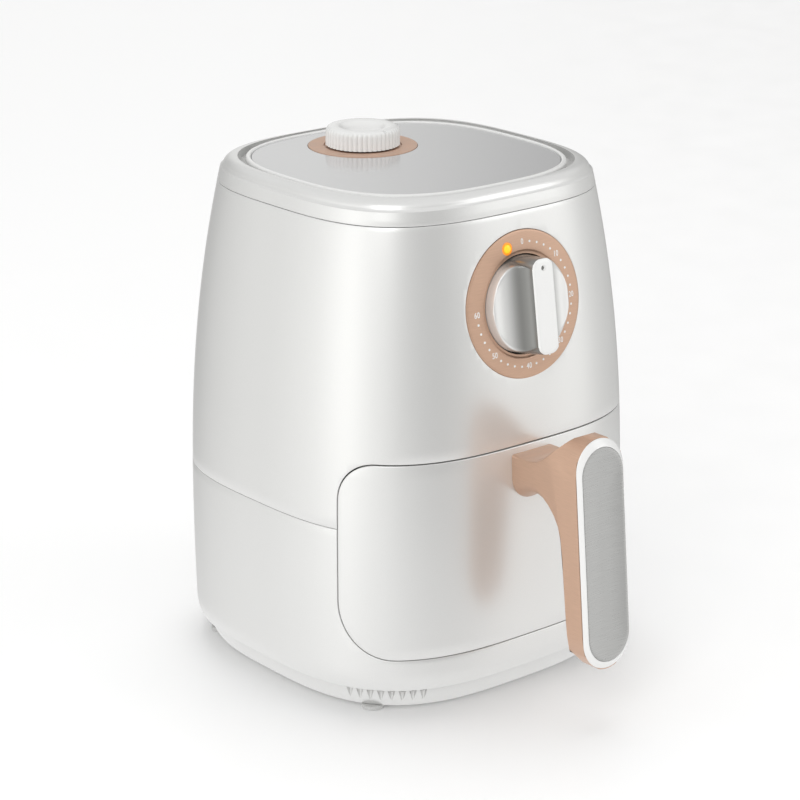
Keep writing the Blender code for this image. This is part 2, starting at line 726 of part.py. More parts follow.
def make_chamber(root):
    """Sheet-metal chamber, open at the front and over the pan, with the element's well on top."""
    form = bmesh.new()
    bmesh.ops.create_cube(form, size=1)
    low = Vector((-CHAMBER_HALF, CHAMBER_FRONT_Y, CHAMBER_LOW_Z))
    high = Vector((CHAMBER_HALF, CHAMBER_BACK_Y, CHAMBER_HIGH_Z))
    for vert in form.verts:
        vert.co = Vector(low[i] + (vert.co[i] + 0.5) * (high[i] - low[i]) for i in range(3))
    upright = [e for e in form.edges if abs(e.verts[0].co.z - e.verts[1].co.z) > MM]
    rear = [e for e in upright if all(v.co.y > 0 for v in e.verts)]
    bmesh.ops.bevel(form, geom=rear, offset=30 * MM, segments=5, profile=0.5, affect="EDGES")
    front = [face for face in form.faces if face.normal.y < -0.9]
    bmesh.ops.delete(form, geom=front, context="FACES_ONLY")
    chamber = thicken(add_mesh("chamber_liner", form, STEEL, root), SHEET)
    mouth = cylinder("well_mouth_cutter", WELL_RADIUS - 4 * MM, 140 * MM, 160 * MM, None, root, 40)
    combine(chamber, as_cutter(mouth))
    hole = cylinder("plunger_hole_cutter", 2.6 * MM, -6 * MM, 6 * MM, None, root, 16)
    hole.rotation_euler = (math.pi / 2, 0, 0)
    hole.location = (0, CHAMBER_BACK_Y, 100 * MM)
    combine(chamber, as_cutter(hole))

    low, top = CHAMBER_HIGH_Z + GAP, WELL_TOP_Z
    well = (
        (WELL_RADIUS + 2 * MM, low + 1 * MM),
        (WELL_RADIUS + 2 * MM, low),
        (WELL_RADIUS - 4 * MM, low),
        (WELL_RADIUS - 4 * MM, top - 7 * MM),
        (WELL_RADIUS - 10 * MM, top - 1 * MM),
        (3.2 * MM, top - 1 * MM),
        (3.2 * MM, top),
        (WELL_RADIUS - 9.6 * MM, top),
        (WELL_RADIUS - 3 * MM, top - 6.6 * MM),
        (WELL_RADIUS - 3 * MM, low + 1 * MM),
    )
    turned("element_well", well, STEEL, root, 28)
    for side, name in ((-1, "left"), (1, "right")):
        near, far = PAN_HALF_WIDTH + 0.6 * MM, CHAMBER_HALF - SHEET - GAP
        box(
            f"rail_{name}",
            (min(side * near, side * far), -54 * MM, 113 * MM),
            (max(side * near, side * far), 52 * MM, PAN_HIGH_Z - PAN_WALL - GAP),
            STEEL,
            root,
            0.5 * MM,
        )


def make_mouth_frame(root):
    """Funnel from the drawer opening in the housing back to the open front of the chamber."""
    table = arc_angles()
    sheet, clear = 1.2 * MM, 1.5 * MM
    rings = []
    for at_front, grow in ((True, clear), (False, -1 * MM), (False, sheet - 1 * MM), (True, clear + sheet)):
        if at_front:
            low, high, radii = DRAWER_LOW_Z, DRAWER_HIGH_Z, (DRAWER_BOTTOM_RADIUS, DRAWER_TOP_RADIUS)
            outline = divided_outline(DRAWER_HALF_ARC + grow, low - grow, high + grow, *radii)
            inset = WALL + 1.6 * MM
            rings.append([surface_point(angle_at(table, across), up, inset) for across, up in outline])
        else:
            low, high = CHAMBER_LOW_Z, CHAMBER_HIGH_Z
            outline = divided_outline(CHAMBER_HALF + grow, low - grow, high + grow, 3 * MM, 3 * MM)
            rings.append([Vector((across, CHAMBER_FRONT_Y - 0.6 * MM, up)) for across, up in outline])
    loft("mouth_frame", rings, STEEL, root, "join")


def divided_outline(half, low, high, low_radius, high_radius):
    """Points around a rounded rectangle, its long sides divided so that it can follow a curved surface."""
    corners_only = rounded_outline(half, low, high, low_radius, high_radius, 3)
    points = []
    for i, point in enumerate(corners_only):
        following = corners_only[(i + 1) % len(corners_only)]
        points.append(point)
        if i % 4 == 3:
            count = 12 if abs(following[0] - point[0]) > abs(following[1] - point[1]) else 3
            for step in range(1, count):
                share = step / count
                points.append(tuple(point[j] + (following[j] - point[j]) * share for j in range(2)))
    return points


def make_element(root):
    """Two-turn tubular heating element, with its ends turned up through the well."""
    curve = bpy.data.curves.new("heating_element", "CURVE")
    curve.dimensions = "3D"
    curve.bevel_depth = 3.2 * MM
    curve.bevel_resolution = 2
    curve.use_fill_caps = True
    points = []
    turns, steps, outer, inner, z = 2, 20, 56 * MM, 36 * MM, 155.5 * MM
    for step in range(turns * steps + 1):
        angle = 2 * math.pi * step / steps
        radius = outer + (inner - outer) * step / (turns * steps)
        points.append((radius * math.cos(angle), radius * math.sin(angle), z))
    spline = curve.splines.new("POLY")
    spline.points.add(len(points) - 1)
    for target, point in zip(spline.points, points):
        target.co = (*point, 1)
    add_object("heating_element", curve, DARK_STEEL, root)


def fan_blades(name, hub, radius, low, high, blades, pitch, finish, parent, bore):
    """A disc with upright curved-in blades, joined into one piece and bored for the shaft."""
    disc = cylinder(name, radius, high - 1.2 * MM, high, finish, parent, 32)
    boss = cylinder(f"{name}_hub_join", hub, low, high - 0.4 * MM, None, parent, 20)
    combine(disc, as_cutter(boss), "UNION")
    for index in range(blades):
        turn = 2 * math.pi * index / blades
        blade = box(
            f"{name}_blade_{index}_join",
            (hub + 3 * MM, -0.6 * MM, low),
            (radius - 1 * MM, 0.6 * MM, high - 0.5 * MM),
            None,
            parent,
        )
        blade.rotation_euler = (0, 0, turn)
        middle = Vector(((hub + radius) / 2, 0, 0))
        blade.location = Euler((0, 0, turn)).to_matrix() @ middle - (
            Euler((0, 0, turn + pitch)).to_matrix() @ middle
        )
        blade.rotation_euler.z = turn + pitch
        combine(disc, as_cutter(blade), "UNION")
    hole = cylinder(f"{name}_bore_cutter", bore, low - MM, high + MM, None, parent, 16)
    combine(disc, as_cutter(hole))


def make_fan(root):
    axis = empty("fan_axis", root)
    cylinder("motor_shaft", 2 * MM, 161 * MM, 219 * MM, STEEL, axis, 16, edge=0.3 * MM)
    fan_blades("chamber_fan", 8 * MM, 46 * MM, 162.5 * MM, 171.5 * MM, 8, 0.35, STEEL, axis, 2.3 * MM)
    fan_blades("cooling_fan", 6 * MM, 29 * MM, 209 * MM, 216 * MM, 6, -0.4, STEEL, axis, 2.3 * MM)
    low = 181.5 * MM
    motor = (
        (2.5 * MM, low + 23 * MM),
        (12 * MM, low + 23 * MM),
        (15 * MM, low + 20 * MM),
        (24 * MM, low + 20 * MM),
        (24 * MM, low + 3 * MM),
        (12 * MM, low + 3 * MM),
        (12 * MM, low),
        (2.5 * MM, low),
    )
    turned("fan_motor", motor, DARK_STEEL, root, 28)
    leg, top, sheet, base = 79 * MM, low - GAP, 1.6 * MM, CHAMBER_HIGH_Z + GAP
    bridge = box("motor_bracket", (-leg, -14 * MM, base), (leg, 14 * MM, top), STEEL, root)
    inside = box(
        "bracket_inside_cutter",
        (-leg + sheet, -20 * MM, base - MM),
        (leg - sheet, 20 * MM, top - sheet),
        None,
        root,
    )
    combine(bridge, as_cutter(inside))
    hole = cylinder("bridge_hole_cutter", 4 * MM, 170 * MM, 190 * MM, None, root, 20)
    combine(bridge, as_cutter(hole))


def make_electrics(root):
    back = CHAMBER_BACK_Y + 2 * MM
    switch = box("door_switch", (-10 * MM, back, 94 * MM), (10 * MM, back + 8 * MM, 106 * MM), BLACK, root)
    axis = empty("plunger_axis", root, (0, back, 100 * MM))
    socket = cylinder("plunger_socket_cutter", 2.3 * MM, -5 * MM, 2 * MM, None, axis, 16)
    plunger = cylinder("switch_plunger", 2 * MM, -3 * MM, 5.4 * MM, RUBBER, axis, 12, edge=0.4 * MM)
    for obj in (socket, plunger):
        obj.rotation_euler = (math.pi / 2, 0, 0)
    combine(switch, as_cutter(socket))
    box("terminal_block", (-58 * MM, 40 * MM, 186 * MM), (-34 * MM, 56 * MM, 198 * MM), CREAM, root, 0.8 * MM)
    fuse = cylinder("thermal_fuse", 3 * MM, -9 * MM, 9 * MM, STEEL, root, 16, edge=0.8 * MM)
    fuse.rotation_euler = (0, math.pi / 2, 0)
    fuse.location = (0, 40 * MM, WELL_TOP_Z + 3 * MM + GAP)


def make_drawer(root):
    drawer = empty("drawer", root)
    front = wrapped_panel(
        "drawer_front",
        DRAWER_HALF_ARC,
        DRAWER_LOW_Z,
        DRAWER_HIGH_Z,
        (DRAWER_BOTTOM_RADIUS, DRAWER_TOP_RADIUS),
        (33, 3),
        WALL,
        -1.0,
        PEARL,
        drawer,
    )
    low, high = Vector((-72 * MM, -80 * MM, 36 * MM)), Vector((72 * MM, -77 * MM, 127 * MM))
    box("front_shield", low, high, BLACK, drawer, 1 * MM)

    form = bmesh.new()
    bmesh.ops.create_cube(form, size=1)
    low = Vector((-PAN_HALF_WIDTH, PAN_FRONT_Y, PAN_LOW_Z))
    high = Vector((PAN_HALF_WIDTH, PAN_BACK_Y, PAN_HIGH_Z))
    for vert in form.verts:
        vert.co = Vector(low[i] + (vert.co[i] + 0.5) * (high[i] - low[i]) for i in range(3))
    upright = [e for e in form.edges if abs(e.verts[0].co.z - e.verts[1].co.z) > MM]
    bmesh.ops.bevel(form, geom=upright, offset=PAN_CORNER, segments=6, profile=0.5, affect="EDGES")
    bottom = [e for e in form.edges if all(v.co.z < PAN_LOW_Z + MM for v in e.verts)]
    bmesh.ops.bevel(form, geom=bottom, offset=8 * MM, segments=3, profile=0.5, affect="EDGES")
    lid = [face for face in form.faces if face.normal.z > 0.9]
    rim = lid[0].edges[:]
    bmesh.ops.delete(form, geom=lid, context="FACES_ONLY")
    lip = bmesh.ops.extrude_edge_only(form, edges=rim)
    middle = (PAN_FRONT_Y + PAN_BACK_Y) / 2
    grow = 1 + PAN_LIP / PAN_HALF_WIDTH
    for vert in [item for item in lip["geom"] if isinstance(item, bmesh.types.BMVert)]:
        vert.co.x *= grow
        vert.co.y = middle + (vert.co.y - middle) * (1 + (grow - 1) / 2)
    thicken(add_shell("drawer_pan", form, Vector((0, 0, -1)), NONSTICK, drawer), PAN_WALL)
    make_tray(drawer)
    make_handle(drawer, front)


def make_tray(drawer):
    """Perforated crisper plate on four legs, with a silicone bumper at each side."""
    centre = (PAN_FRONT_Y + PAN_BACK_Y) / 2
    lift = empty("tray", drawer, (0, centre, 0))
    rings = [rounded_square(TRAY_HALF, TRAY_HALF, 4.5, z, 0, 40) for z in (TRAY_Z, TRAY_Z + TRAY_THICK)]
    tray = loft("crisper_tray", rings, NONSTICK, lift)
    for index, (x, y) in enumerate(corners(50 * MM, 50 * MM)):
        leg = cylinder(
            f"tray_leg_{index}_join", 3.5 * MM, PAN_LOW_Z + PAN_WALL + GAP, TRAY_Z + MM, None, lift, 12
        )
        leg.location = (x, y, 0)
        combine(tray, as_cutter(leg), "UNION")
    form = bmesh.new()
    for column in range(5):
        for row in range(5):
            made = bmesh.ops.create_cone(
                form, cap_ends=True, segments=8, radius1=4.5 * MM, radius2=4.5 * MM, depth=12 * MM
            )
            place = Vector(((column - 2) * 22 * MM, (row - 2) * 22 * MM, TRAY_Z))
            bmesh.ops.translate(form, verts=made["verts"], vec=place)
    combine(tray, as_cutter(add_mesh("tray_holes_cutter", form, None, lift)))
    reach = TRAY_HALF + GAP
    sides = (("front", 0, -1), ("right", 1, 0), ("back", 0, 1), ("left", -1, 0))
    for name, x, y in sides:
        limit = PAN_HALF_WIDTH - PAN_WALL if x else (PAN_BACK_Y - PAN_FRONT_Y) / 2 - PAN_WALL
        half_x, half_y, end = abs(y) * 7 * MM, abs(x) * 7 * MM, limit - GAP
        near = Vector((x * reach - half_x, y * reach - half_y, TRAY_Z - 2 * MM))
        far = Vector((x * end + half_x, y * end + half_y, TRAY_Z + 4 * MM))
        low = Vector(min(near[i], far[i]) for i in range(3))
        high = Vector(max(near[i], far[i]) for i in range(3))
        box(f"tray_bumper_{name}", low, high, SILICONE, lift, 0.8 * MM)


def handle_front(z):
    """y of the handle's copper-coloured front edge at a height; it leans forward going down."""
    return HANDLE_FRONT_Y - HANDLE_SLOPE * (HANDLE_FRONT_Z - z)


def stadium(half, low, high, steps=10):
    points = []
    for step in range(steps + 1):
        turn = math.pi * step / steps
        points.append((half * math.cos(turn), high - half + half * math.sin(turn)))
    for step in range(steps + 1):
        turn = math.pi * (1 + step / steps)
        points.append((half * math.cos(turn), low + half + half * math.sin(turn)))
    return points


def stadium_slab(name, inset, back, front, finish, parent, chamfer=0.0):
    """The handle's upright stadium outline between two depths counted from its leaning front line."""
    layers = [(inset, back), (inset, front)] if not chamfer else [
        (inset, back),
        (inset, front + chamfer),
        (inset + chamfer * 0.35, front + chamfer * 0.35),
        (inset + chamfer, front),
    ]
    rings = []
    for edge, depth in layers:
        outline = stadium(HANDLE_HALF_WIDTH - edge, HANDLE_LOW_Z + edge, HANDLE_HIGH_Z - edge)
        rings.append([Vector((x, handle_front(z) + depth, z)) for x, z in outline])
    return loft(name, rings, finish, parent)


def bracket_section(y, half, low, high, radius):
    """A section of the bracket across the handle: flat top, rounded lower corners."""
    points = [(half, high), (half, low + radius)]
    for step in range(1, 6):
        turn = math.pi / 2 * step / 5
        points.append((half - radius + radius * math.cos(turn), low + radius - radius * math.sin(turn)))
    left = [(-x, z) for x, z in reversed(points)]
    return [Vector((x, y, z)) for x, z in points + left]


def make_handle(drawer, front):
    """Rose-gold handle: a bracket that sweeps out of the drawer front into an upright grip with a plate."""
    grip = stadium_slab("handle_body", 0.0, HANDLE_GRIP_DEPTH, 0.0, ROSE_GOLD, drawer)
    sections = (
        (-100.0 * MM, 13.5, 107.0, BRACKET_HIGH_Z / MM, 12.0),
        (-105.0 * MM, 13.6, 110.3, 131.4, 10.0),
        (-111.0 * MM, 13.8, 112.8, 131.6, 7.0),
        (-118.5 * MM, 14.1, 114.2, 133.2, 4.0),
        (-126.0 * MM, 14.6, 113.0, 138.0, 2.0),
        (-132.0 * MM, 15.0, 109.4, 143.0, 1.5),
        (-136.5 * MM, 15.3, 103.0, 147.0, 1.2),
        (-139.5 * MM, 15.5, 93.0, 149.0, 1.0),
        (-143.5 * MM, 15.6, 92.0, 149.0, 1.0),
    )
    rings = [
        bracket_section(y, half * MM, low * MM, high * MM, radius * MM)
        for y, half, low, high, radius in sections
    ]
    for point in rings[0]:
        point.y = -front_depth(point.x, point.z) - GAP
    bracket = as_cutter(loft("bracket_join", rings, None, drawer))
    round_top = as_cutter(stadium_slab("grip_outline_trim", 0.0, 60 * MM, -30 * MM, None, drawer))
    combine(bracket, round_top, "INTERSECT")
    combine(grip, bracket, "UNION")

    depth = HANDLE_TRIM_DEPTH
    trim = stadium_slab("handle_trim", 0.0, -GAP, -depth, PEARL, drawer, 1.9 * MM)
    seat = stadium_slab("plate_seat_cutter", 2.4 * MM, -1.1 * MM, -20 * MM, None, drawer)
    combine(trim, as_cutter(seat))
    stadium_slab("handle_plate", 2.4 * MM + GAP, -1.1 * MM - GAP, -depth - 0.1 * MM, SILVER, drawer)

    surface = -front_depth(0, 121 * MM)
    screw = (
        (0, 0),
        (3.2 * MM, 0),
        (3.2 * MM, -2 * MM),
        (1.6 * MM, -2 * MM),
        (1.6 * MM, -15 * MM),
        (0, -16 * MM),
    )
    for side, name in ((-1, "left"), (1, "right")):
        hole = cylinder(f"handle_screw_hole_{name}_cutter", 2 * MM, -18 * MM, 8 * MM, None, drawer, 12)
        hole.rotation_euler = (-math.pi / 2, 0, 0)
        hole.location = (side * 7 * MM, surface, 122 * MM)
        as_cutter(hole)
        combine(front, hole)
        combine(grip, hole)
        bolt = turned(f"handle_screw_{name}", screw, STEEL, drawer, 12)
        bolt.rotation_euler = (-math.pi / 2, 0, 0)
        bolt.location = (side * 7 * MM, surface + WALL + 2.6 * MM, 122 * MM)


def main():
    clear_scene()
    make_collection("air_fryer_parts")
    make_collection("cutters", hidden=True)
    root = empty("air_fryer", None, (0, BODY_Y, 0))
    dial = empty("timer_axis", root, (0, -front_depth(0, DIAL_Z), DIAL_Z), (-DIAL_TILT, 0, 0))
    make_housings(root, dial)
    make_collar(root)
    make_lid(root)
    make_temperature_dial(root)
    make_timer(dial)
    make_base_tray(root)
    make_underside(root)
    make_rear(root)
    make_chamber(root)
    make_mouth_frame(root)
    make_element(root)
    make_fan(root)
    make_electrics(root)
    make_drawer(root)


main()
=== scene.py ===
"""Compact air fryer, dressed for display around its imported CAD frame.

Metres, +Z up, front towards -Y. Each moulded skin is drawn flat or as a stack of rings, then laid on the
housing's own curve, so that shells, drawer, dial and base share one surface.
"""

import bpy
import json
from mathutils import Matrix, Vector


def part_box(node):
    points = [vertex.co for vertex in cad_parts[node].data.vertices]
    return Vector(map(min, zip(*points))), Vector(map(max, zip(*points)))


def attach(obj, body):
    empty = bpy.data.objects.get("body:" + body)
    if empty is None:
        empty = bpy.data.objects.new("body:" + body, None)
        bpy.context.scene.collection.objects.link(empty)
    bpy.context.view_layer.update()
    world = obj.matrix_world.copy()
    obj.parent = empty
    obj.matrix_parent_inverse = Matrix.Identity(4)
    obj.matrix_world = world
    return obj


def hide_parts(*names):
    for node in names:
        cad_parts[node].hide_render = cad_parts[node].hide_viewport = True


bl_info = {
    "name": "Air Fryer Dressing",
    "version": (1, 0, 0),
    "blender": (4, 5, 0),
    "location": "3D View > Sidebar > Air Fryer",
    "description": "Shells, dials, handle, pan and finishes of a compact air fryer",
    "category": "Object",
}

import json
import math

import bmesh
import bpy
import numpy as np
from bpy.props import FloatProperty, FloatVectorProperty, IntProperty, PointerProperty
from mathutils import Euler, Matrix, Vector

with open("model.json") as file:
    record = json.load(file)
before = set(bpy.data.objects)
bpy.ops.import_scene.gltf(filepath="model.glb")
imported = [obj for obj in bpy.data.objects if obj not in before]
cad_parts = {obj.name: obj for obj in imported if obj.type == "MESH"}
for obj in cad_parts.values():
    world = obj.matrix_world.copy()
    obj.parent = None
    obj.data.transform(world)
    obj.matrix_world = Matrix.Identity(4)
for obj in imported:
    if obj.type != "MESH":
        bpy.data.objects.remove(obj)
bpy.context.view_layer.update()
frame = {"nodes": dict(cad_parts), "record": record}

MM = 0.001
EPS = 1e-6

# The housing's outline: a rounded square whose half width follows the height
COLLAR_LOW, COLLAR_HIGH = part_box("top_collar")
AXIS_Y = (COLLAR_LOW[1] + COLLAR_HIGH[1]) / 2
TOP_Z = COLLAR_HIGH[2]
WIDEST, WIDEST_Z = 101.3 * MM, 70 * MM
TOP_DROP, TOP_CURVE = 17.8 * MM, 2.33
LOW_DROP, LOW_CURVE = 0.7 * MM, 2.0
DEPTH_RATIO = 0.995
CORNER_LOW, CORNER_HIGH, LID_CORNER = 3.07, 3.22, 2.8
CREASE_Z, SIDE_SEAM_Z, COLLAR_SEAM_Z = 13.6 * MM, 99.7 * MM, 252.6 * MM
TURN_HEIGHT, TURN_INSET = 10 * MM, 2.5 * MM
WALL = 2.5 * MM
RIM_RADIUS = 5.5 * MM

# Drawer front, handle and dials
DRAWER_LOW_Z, DRAWER_HIGH_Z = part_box("drawer_front")[0][2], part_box("drawer_front")[1][2]
DRAWER_HALF, DRAWER_TOP_CORNER, DRAWER_LOW_CORNER = 110 * MM, 20 * MM, 30 * MM
DIAL_Z, DIAL_TILT, DIAL_RADIUS = 206.5 * MM, math.radians(8.2), 37.35 * MM
DIAL_PROUD, FLAT_RADIUS, CURVED_RADIUS = 0.4 * MM, 20 * MM, 27 * MM
LAMP_ARM, MARK_ARM = 30.6 * MM, 31.4 * MM
TEMP_Y = (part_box("temperature_knob")[0][1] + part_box("temperature_knob")[1][1]) / 2
HANDLE_HALF, HANDLE_LOW_Z, HANDLE_HIGH_Z = 16 * MM, 31.5 * MM, 151 * MM
HANDLE_FRONT_Y, HANDLE_FRONT_Z, HANDLE_SLOPE = -148.9 * MM, 133 * MM, 0.089

# The back: where the shells' ends meet, the vent panel and the gland
END_SEAM = 90 * MM
VENT_HALF, VENT_LOW_Z, VENT_HIGH_Z, VENT_FIT = 40 * MM, 172 * MM, 208 * MM, 0.5 * MM
GLAND_X, GLAND_Z = 34 * MM, 52 * MM

# The pan, and the plate in it
TUB_HALF, TUB_FRONT, TUB_BACK, TUB_CORNER = 79 * MM, -74 * MM, 79 * MM, 24 * MM
CRISPER_POWER, CRISPER_FOOT, HOLE_PITCH, HOLE_RADIUS = 4.5, 50 * MM, 11.5 * MM, 2.9 * MM

# The camera, its angles in degrees
CAMERA_PLACE, CAMERA_DOWN, CAMERA_TURN, CAMERA_LENS = (-0.88571, -1.03901, 0.59467), 18.45, -39.598, 123.94
BACKDROP = (0.965, 0.965, 0.965)


# ---- the housing's surface


def half_width(z):
    rise = np.clip((z - WIDEST_Z) / (TOP_Z - WIDEST_Z), 0, None)
    fall = np.clip((WIDEST_Z - z) / (WIDEST_Z - CREASE_Z), 0, None)
    return WIDEST - TOP_DROP * rise**TOP_CURVE - LOW_DROP * fall**LOW_CURVE


def lower_turn(z):
    """How far the skin draws in on its way round to the crease at its lower edge."""
    share = np.clip((z - CREASE_Z) / TURN_HEIGHT, 0, 1)
    return TURN_INSET * (1 - np.sqrt(1 - (1 - share) ** 2))


def corner_power(z):
    return CORNER_LOW + (CORNER_HIGH - CORNER_LOW) * (z - CREASE_Z) / (TOP_Z - CREASE_Z)


def squared(angle, half_x, half_y, power):
    """A point of a rounded square at an angle from the front (-Y), positive towards +X."""
    x, y = np.sin(angle), -np.cos(angle)
    reach = (np.abs(x / half_x) ** power + np.abs(y / half_y) ** power) ** (-1 / power)
    return reach * x, reach * y


def skin(angle, z, inset=0.0):
    half = half_width(z)
    x, y = squared(angle, half - inset, half * DEPTH_RATIO - inset, corner_power(z))
    return np.stack([x, y + AXIS_Y, z + 0 * x], axis=-1)


def turned_skin(angle, z):
    return skin(angle, z, lower_turn(z))


def front_depth(x, z):
    """How far the front surface lies before the housing's axis."""
    power = corner_power(z)
    share = np.clip(1 - np.abs(x / half_width(z)) ** power, 0, 1)
    return half_width(z) * DEPTH_RATIO * share ** (1 / power)


ANGLES = np.linspace(0, math.pi, 1441)
STEPS = np.linalg.norm(np.diff(skin(ANGLES, np.full(ANGLES.shape, SIDE_SEAM_Z)), axis=0), axis=1)
ARCS = np.concatenate([[0.0], np.cumsum(STEPS)])
HALF_ROUND = ARCS[-1]


def angle_of(along):
    """The angle about the axis at a distance along the skin from the middle of the front."""
    along = (along + HALF_ROUND) % (2 * HALF_ROUND) - HALF_ROUND
    return np.sign(along) * np.interp(np.abs(along), ARCS, ANGLES)


def along_of(x, z):
    """The distance along the skin of a front point that lies x across."""
    return np.sign(x) * np.interp(np.arctan2(np.abs(x), front_depth(x, z)), ANGLES, ARCS)


def lay_on_skin(points):
    """Flat (along, depth, height) points laid on the housing, depth counted inwards along its normal."""
    angle, depth, z = angle_of(points[:, 0]), points[:, 1], points[:, 2]
    z = np.maximum(z, CREASE_Z + EPS)
    turn, lift = 1e-4, 2e-6
    sideways = turned_skin(angle + turn, z) - turned_skin(angle - turn, z)
    upwards = turned_skin(angle, z + lift) - turned_skin(angle, np.maximum(z - lift, CREASE_Z))
    normal = np.cross(sideways, upwards)
    normal /= np.linalg.norm(normal, axis=1)[:, None]
    return turned_skin(angle, z) - normal * depth[:, None]


# ---- modelling by hand


def start(name, kind, **settings):
    """A primitive added with nothing else selected."""
    bpy.ops.object.select_all(action="DESELECT")
    getattr(bpy.ops.mesh, f"primitive_{kind}_add")(**settings)
    obj = bpy.context.object
    obj.name = obj.data.name = name
    return obj


def take(obj):
    bpy.ops.object.select_all(action="DESELECT")
    obj.select_set(True)
    bpy.context.view_layer.objects.active = obj


def edit(obj):
    take(obj)
    bpy.ops.object.mode_set(mode="EDIT")


def done():
    bpy.ops.object.mode_set(mode="OBJECT")


def pick(obj, kind, test):
    """Selects the corners, edges or faces that pass a test, in edit mode."""
    bpy.ops.mesh.select_mode(type=kind)
    bpy.ops.mesh.select_all(action="DESELECT")
    form = bmesh.from_edit_mesh(obj.data)
    for item in {"VERT": form.verts, "EDGE": form.edges, "FACE": form.faces}[kind]:
        if test(item):
            item.select_set(True)
    form.select_flush_mode()
    bmesh.update_edit_mesh(obj.data)


def modify(obj, kind, **settings):
    """Adds a modifier and applies it."""
    modifier = obj.modifiers.new(kind.lower(), kind)
    for name, value in settings.items():
        setattr(modifier, name, value)
    take(obj)
    bpy.ops.object.modifier_apply(modifier=modifier.name)


def soften(obj, width, segments, degrees):
    """Rounds the edges that turn by more than an angle."""
    limit = math.radians(degrees)
    modify(obj, "BEVEL", width=width, segments=segments, limit_method="ANGLE", angle_limit=limit)


def cut(obj, *tools, operation="DIFFERENCE"):
    for tool in tools:
        modify(obj, "BOOLEAN", object=tool, operation=operation, solver="EXACT")
        bpy.data.objects.remove(tool, do_unlink=True)
    if not obj.data.polygons:
        raise RuntimeError(f"{obj.name} was cut away")


def points_of(obj):
    flat = np.empty(len(obj.data.vertices) * 3)
    obj.data.vertices.foreach_get("co", flat)
    return flat.reshape(-1, 3)


def set_points(obj, points):
    obj.data.vertices.foreach_set("co", np.ascontiguousarray(points, float).ravel())
    obj.data.update()


def face_out(obj):
    edit(obj)
    bpy.ops.mesh.select_all(action="SELECT")
    bpy.ops.mesh.remove_doubles(threshold=2e-6)
    bpy.ops.mesh.normals_make_consistent(inside=False)
    done()


def settle(obj, matrix=None):
    """Puts the object's place, and a further matrix, into its mesh."""
    if matrix is not None:
        bpy.context.view_layer.update()
        obj.matrix_world = matrix @ obj.matrix_world
    take(obj)
    bpy.ops.object.transform_apply(location=True, rotation=True, scale=True)


def copy_of(obj, name, matrix):
    """A copy with its own mesh, moved by a matrix that stays in the mesh."""
    twin = obj.copy()
    twin.data = obj.data.copy()
    twin.name = twin.data.name = name
    bpy.context.collection.objects.link(twin)
    settle(twin, matrix)
    return twin


def join(pieces, name):
    take(pieces[0])
    for piece in pieces:
        piece.select_set(True)
    bpy.ops.object.join()
    pieces[0].name = pieces[0].data.name = name
    return pieces[0]


def draw_out(name, sections, joined=False):
    """A ring extruded level by level, each level then set to its own section of points."""
    sections = np.asarray(sections, float)
    levels, count = sections.shape[:2]
    obj = start(name, "circle", vertices=count, radius=1, fill_type="NOTHING")
    bpy.ops.object.mode_set(mode="EDIT")
    bpy.ops.mesh.select_mode(type="VERT")
    bpy.ops.mesh.select_all(action="SELECT")
    for _ in range(levels - 1):
        bpy.ops.mesh.extrude_region_move(TRANSFORM_OT_translate={"value": (0, 0, 1)})
    done()
    points = points_of(obj)
    level = np.rint(points[:, 2]).astype(int)
    turn = np.arctan2(points[:, 1], points[:, 0])
    index = np.rint(turn / (2 * math.pi / count)).astype(int) % count
    edit(obj)
    if joined:
        pick(obj, "EDGE", lambda edge: edge.is_boundary)
        bpy.ops.mesh.bridge_edge_loops()
    else:
        for height in (0, levels - 1):
            pick(obj, "VERT", lambda vert: abs(vert.co.z - height) < 0.5)
            bpy.ops.mesh.edge_face_add()
    done()
    set_points(obj, sections[level, index])
    face_out(obj)
    return obj


def in_mm(profile):
    return [(across * MM, up * MM) for across, up in profile]


def turned_rings(profile, count, centre=(0, 0)):
    """Round sections from (radius, height) pairs."""
    angle = 2 * math.pi * np.arange(count) / count
    x, y = np.cos(angle), np.sin(angle)
    return [
        np.stack([centre[0] + radius * x, centre[1] + radius * y, np.full(count, height)], axis=-1)
        for radius, height in profile
    ]


def squared_rings(profile, power, drop=0.0, count=240):
    """Rounded-square sections from (half width, height) pairs, drop less deep than they are wide."""
    angle = 2 * math.pi * (np.arange(count) + 0.5) / count
    rings = []
    for half, height in profile:
        x, y = squared(angle, half, half - drop, power(half) if callable(power) else power)
        rings.append(np.stack([x, y + AXIS_Y, np.full(count, height)], axis=-1))
    return np.array(rings)


def fillet(centre, radius, first, last, steps=5):
    """(across, up) points of an arc, its angles in degrees from +across."""
    turn = np.radians(np.linspace(first, last, steps + 1))
    return [(centre[0] + radius * math.cos(t), centre[1] + radius * math.sin(t)) for t in turn]


def flat_panel(name, low, high, thickness, low_corner=0.0, high_corner=0.0, start_depth=0.0):
    """An upright panel in (along, depth, height), with its lower and upper corners rounded."""
    width, height = high[0] - low[0], high[1] - low[1]
    middle = ((low[0] + high[0]) / 2, start_depth, (low[1] + high[1]) / 2)
    obj = start(name, "plane", size=1, location=middle, rotation=(math.pi / 2, 0, 0))
    obj.scale = (width, height, 1)
    settle(obj)
    edit(obj)
    for radius, level in ((low_corner, low[1]), (high_corner, high[1])):
        if radius:
            pick(obj, "VERT", lambda vert: abs(vert.co.z - level) < EPS and vert.is_boundary)
            bpy.ops.mesh.bevel(affect="VERTICES", offset=radius, segments=14)
    bpy.ops.mesh.select_all(action="SELECT")
    bpy.ops.mesh.extrude_region_move(TRANSFORM_OT_translate={"value": (0, thickness, 0)})
    done()
    face_out(obj)
    return obj


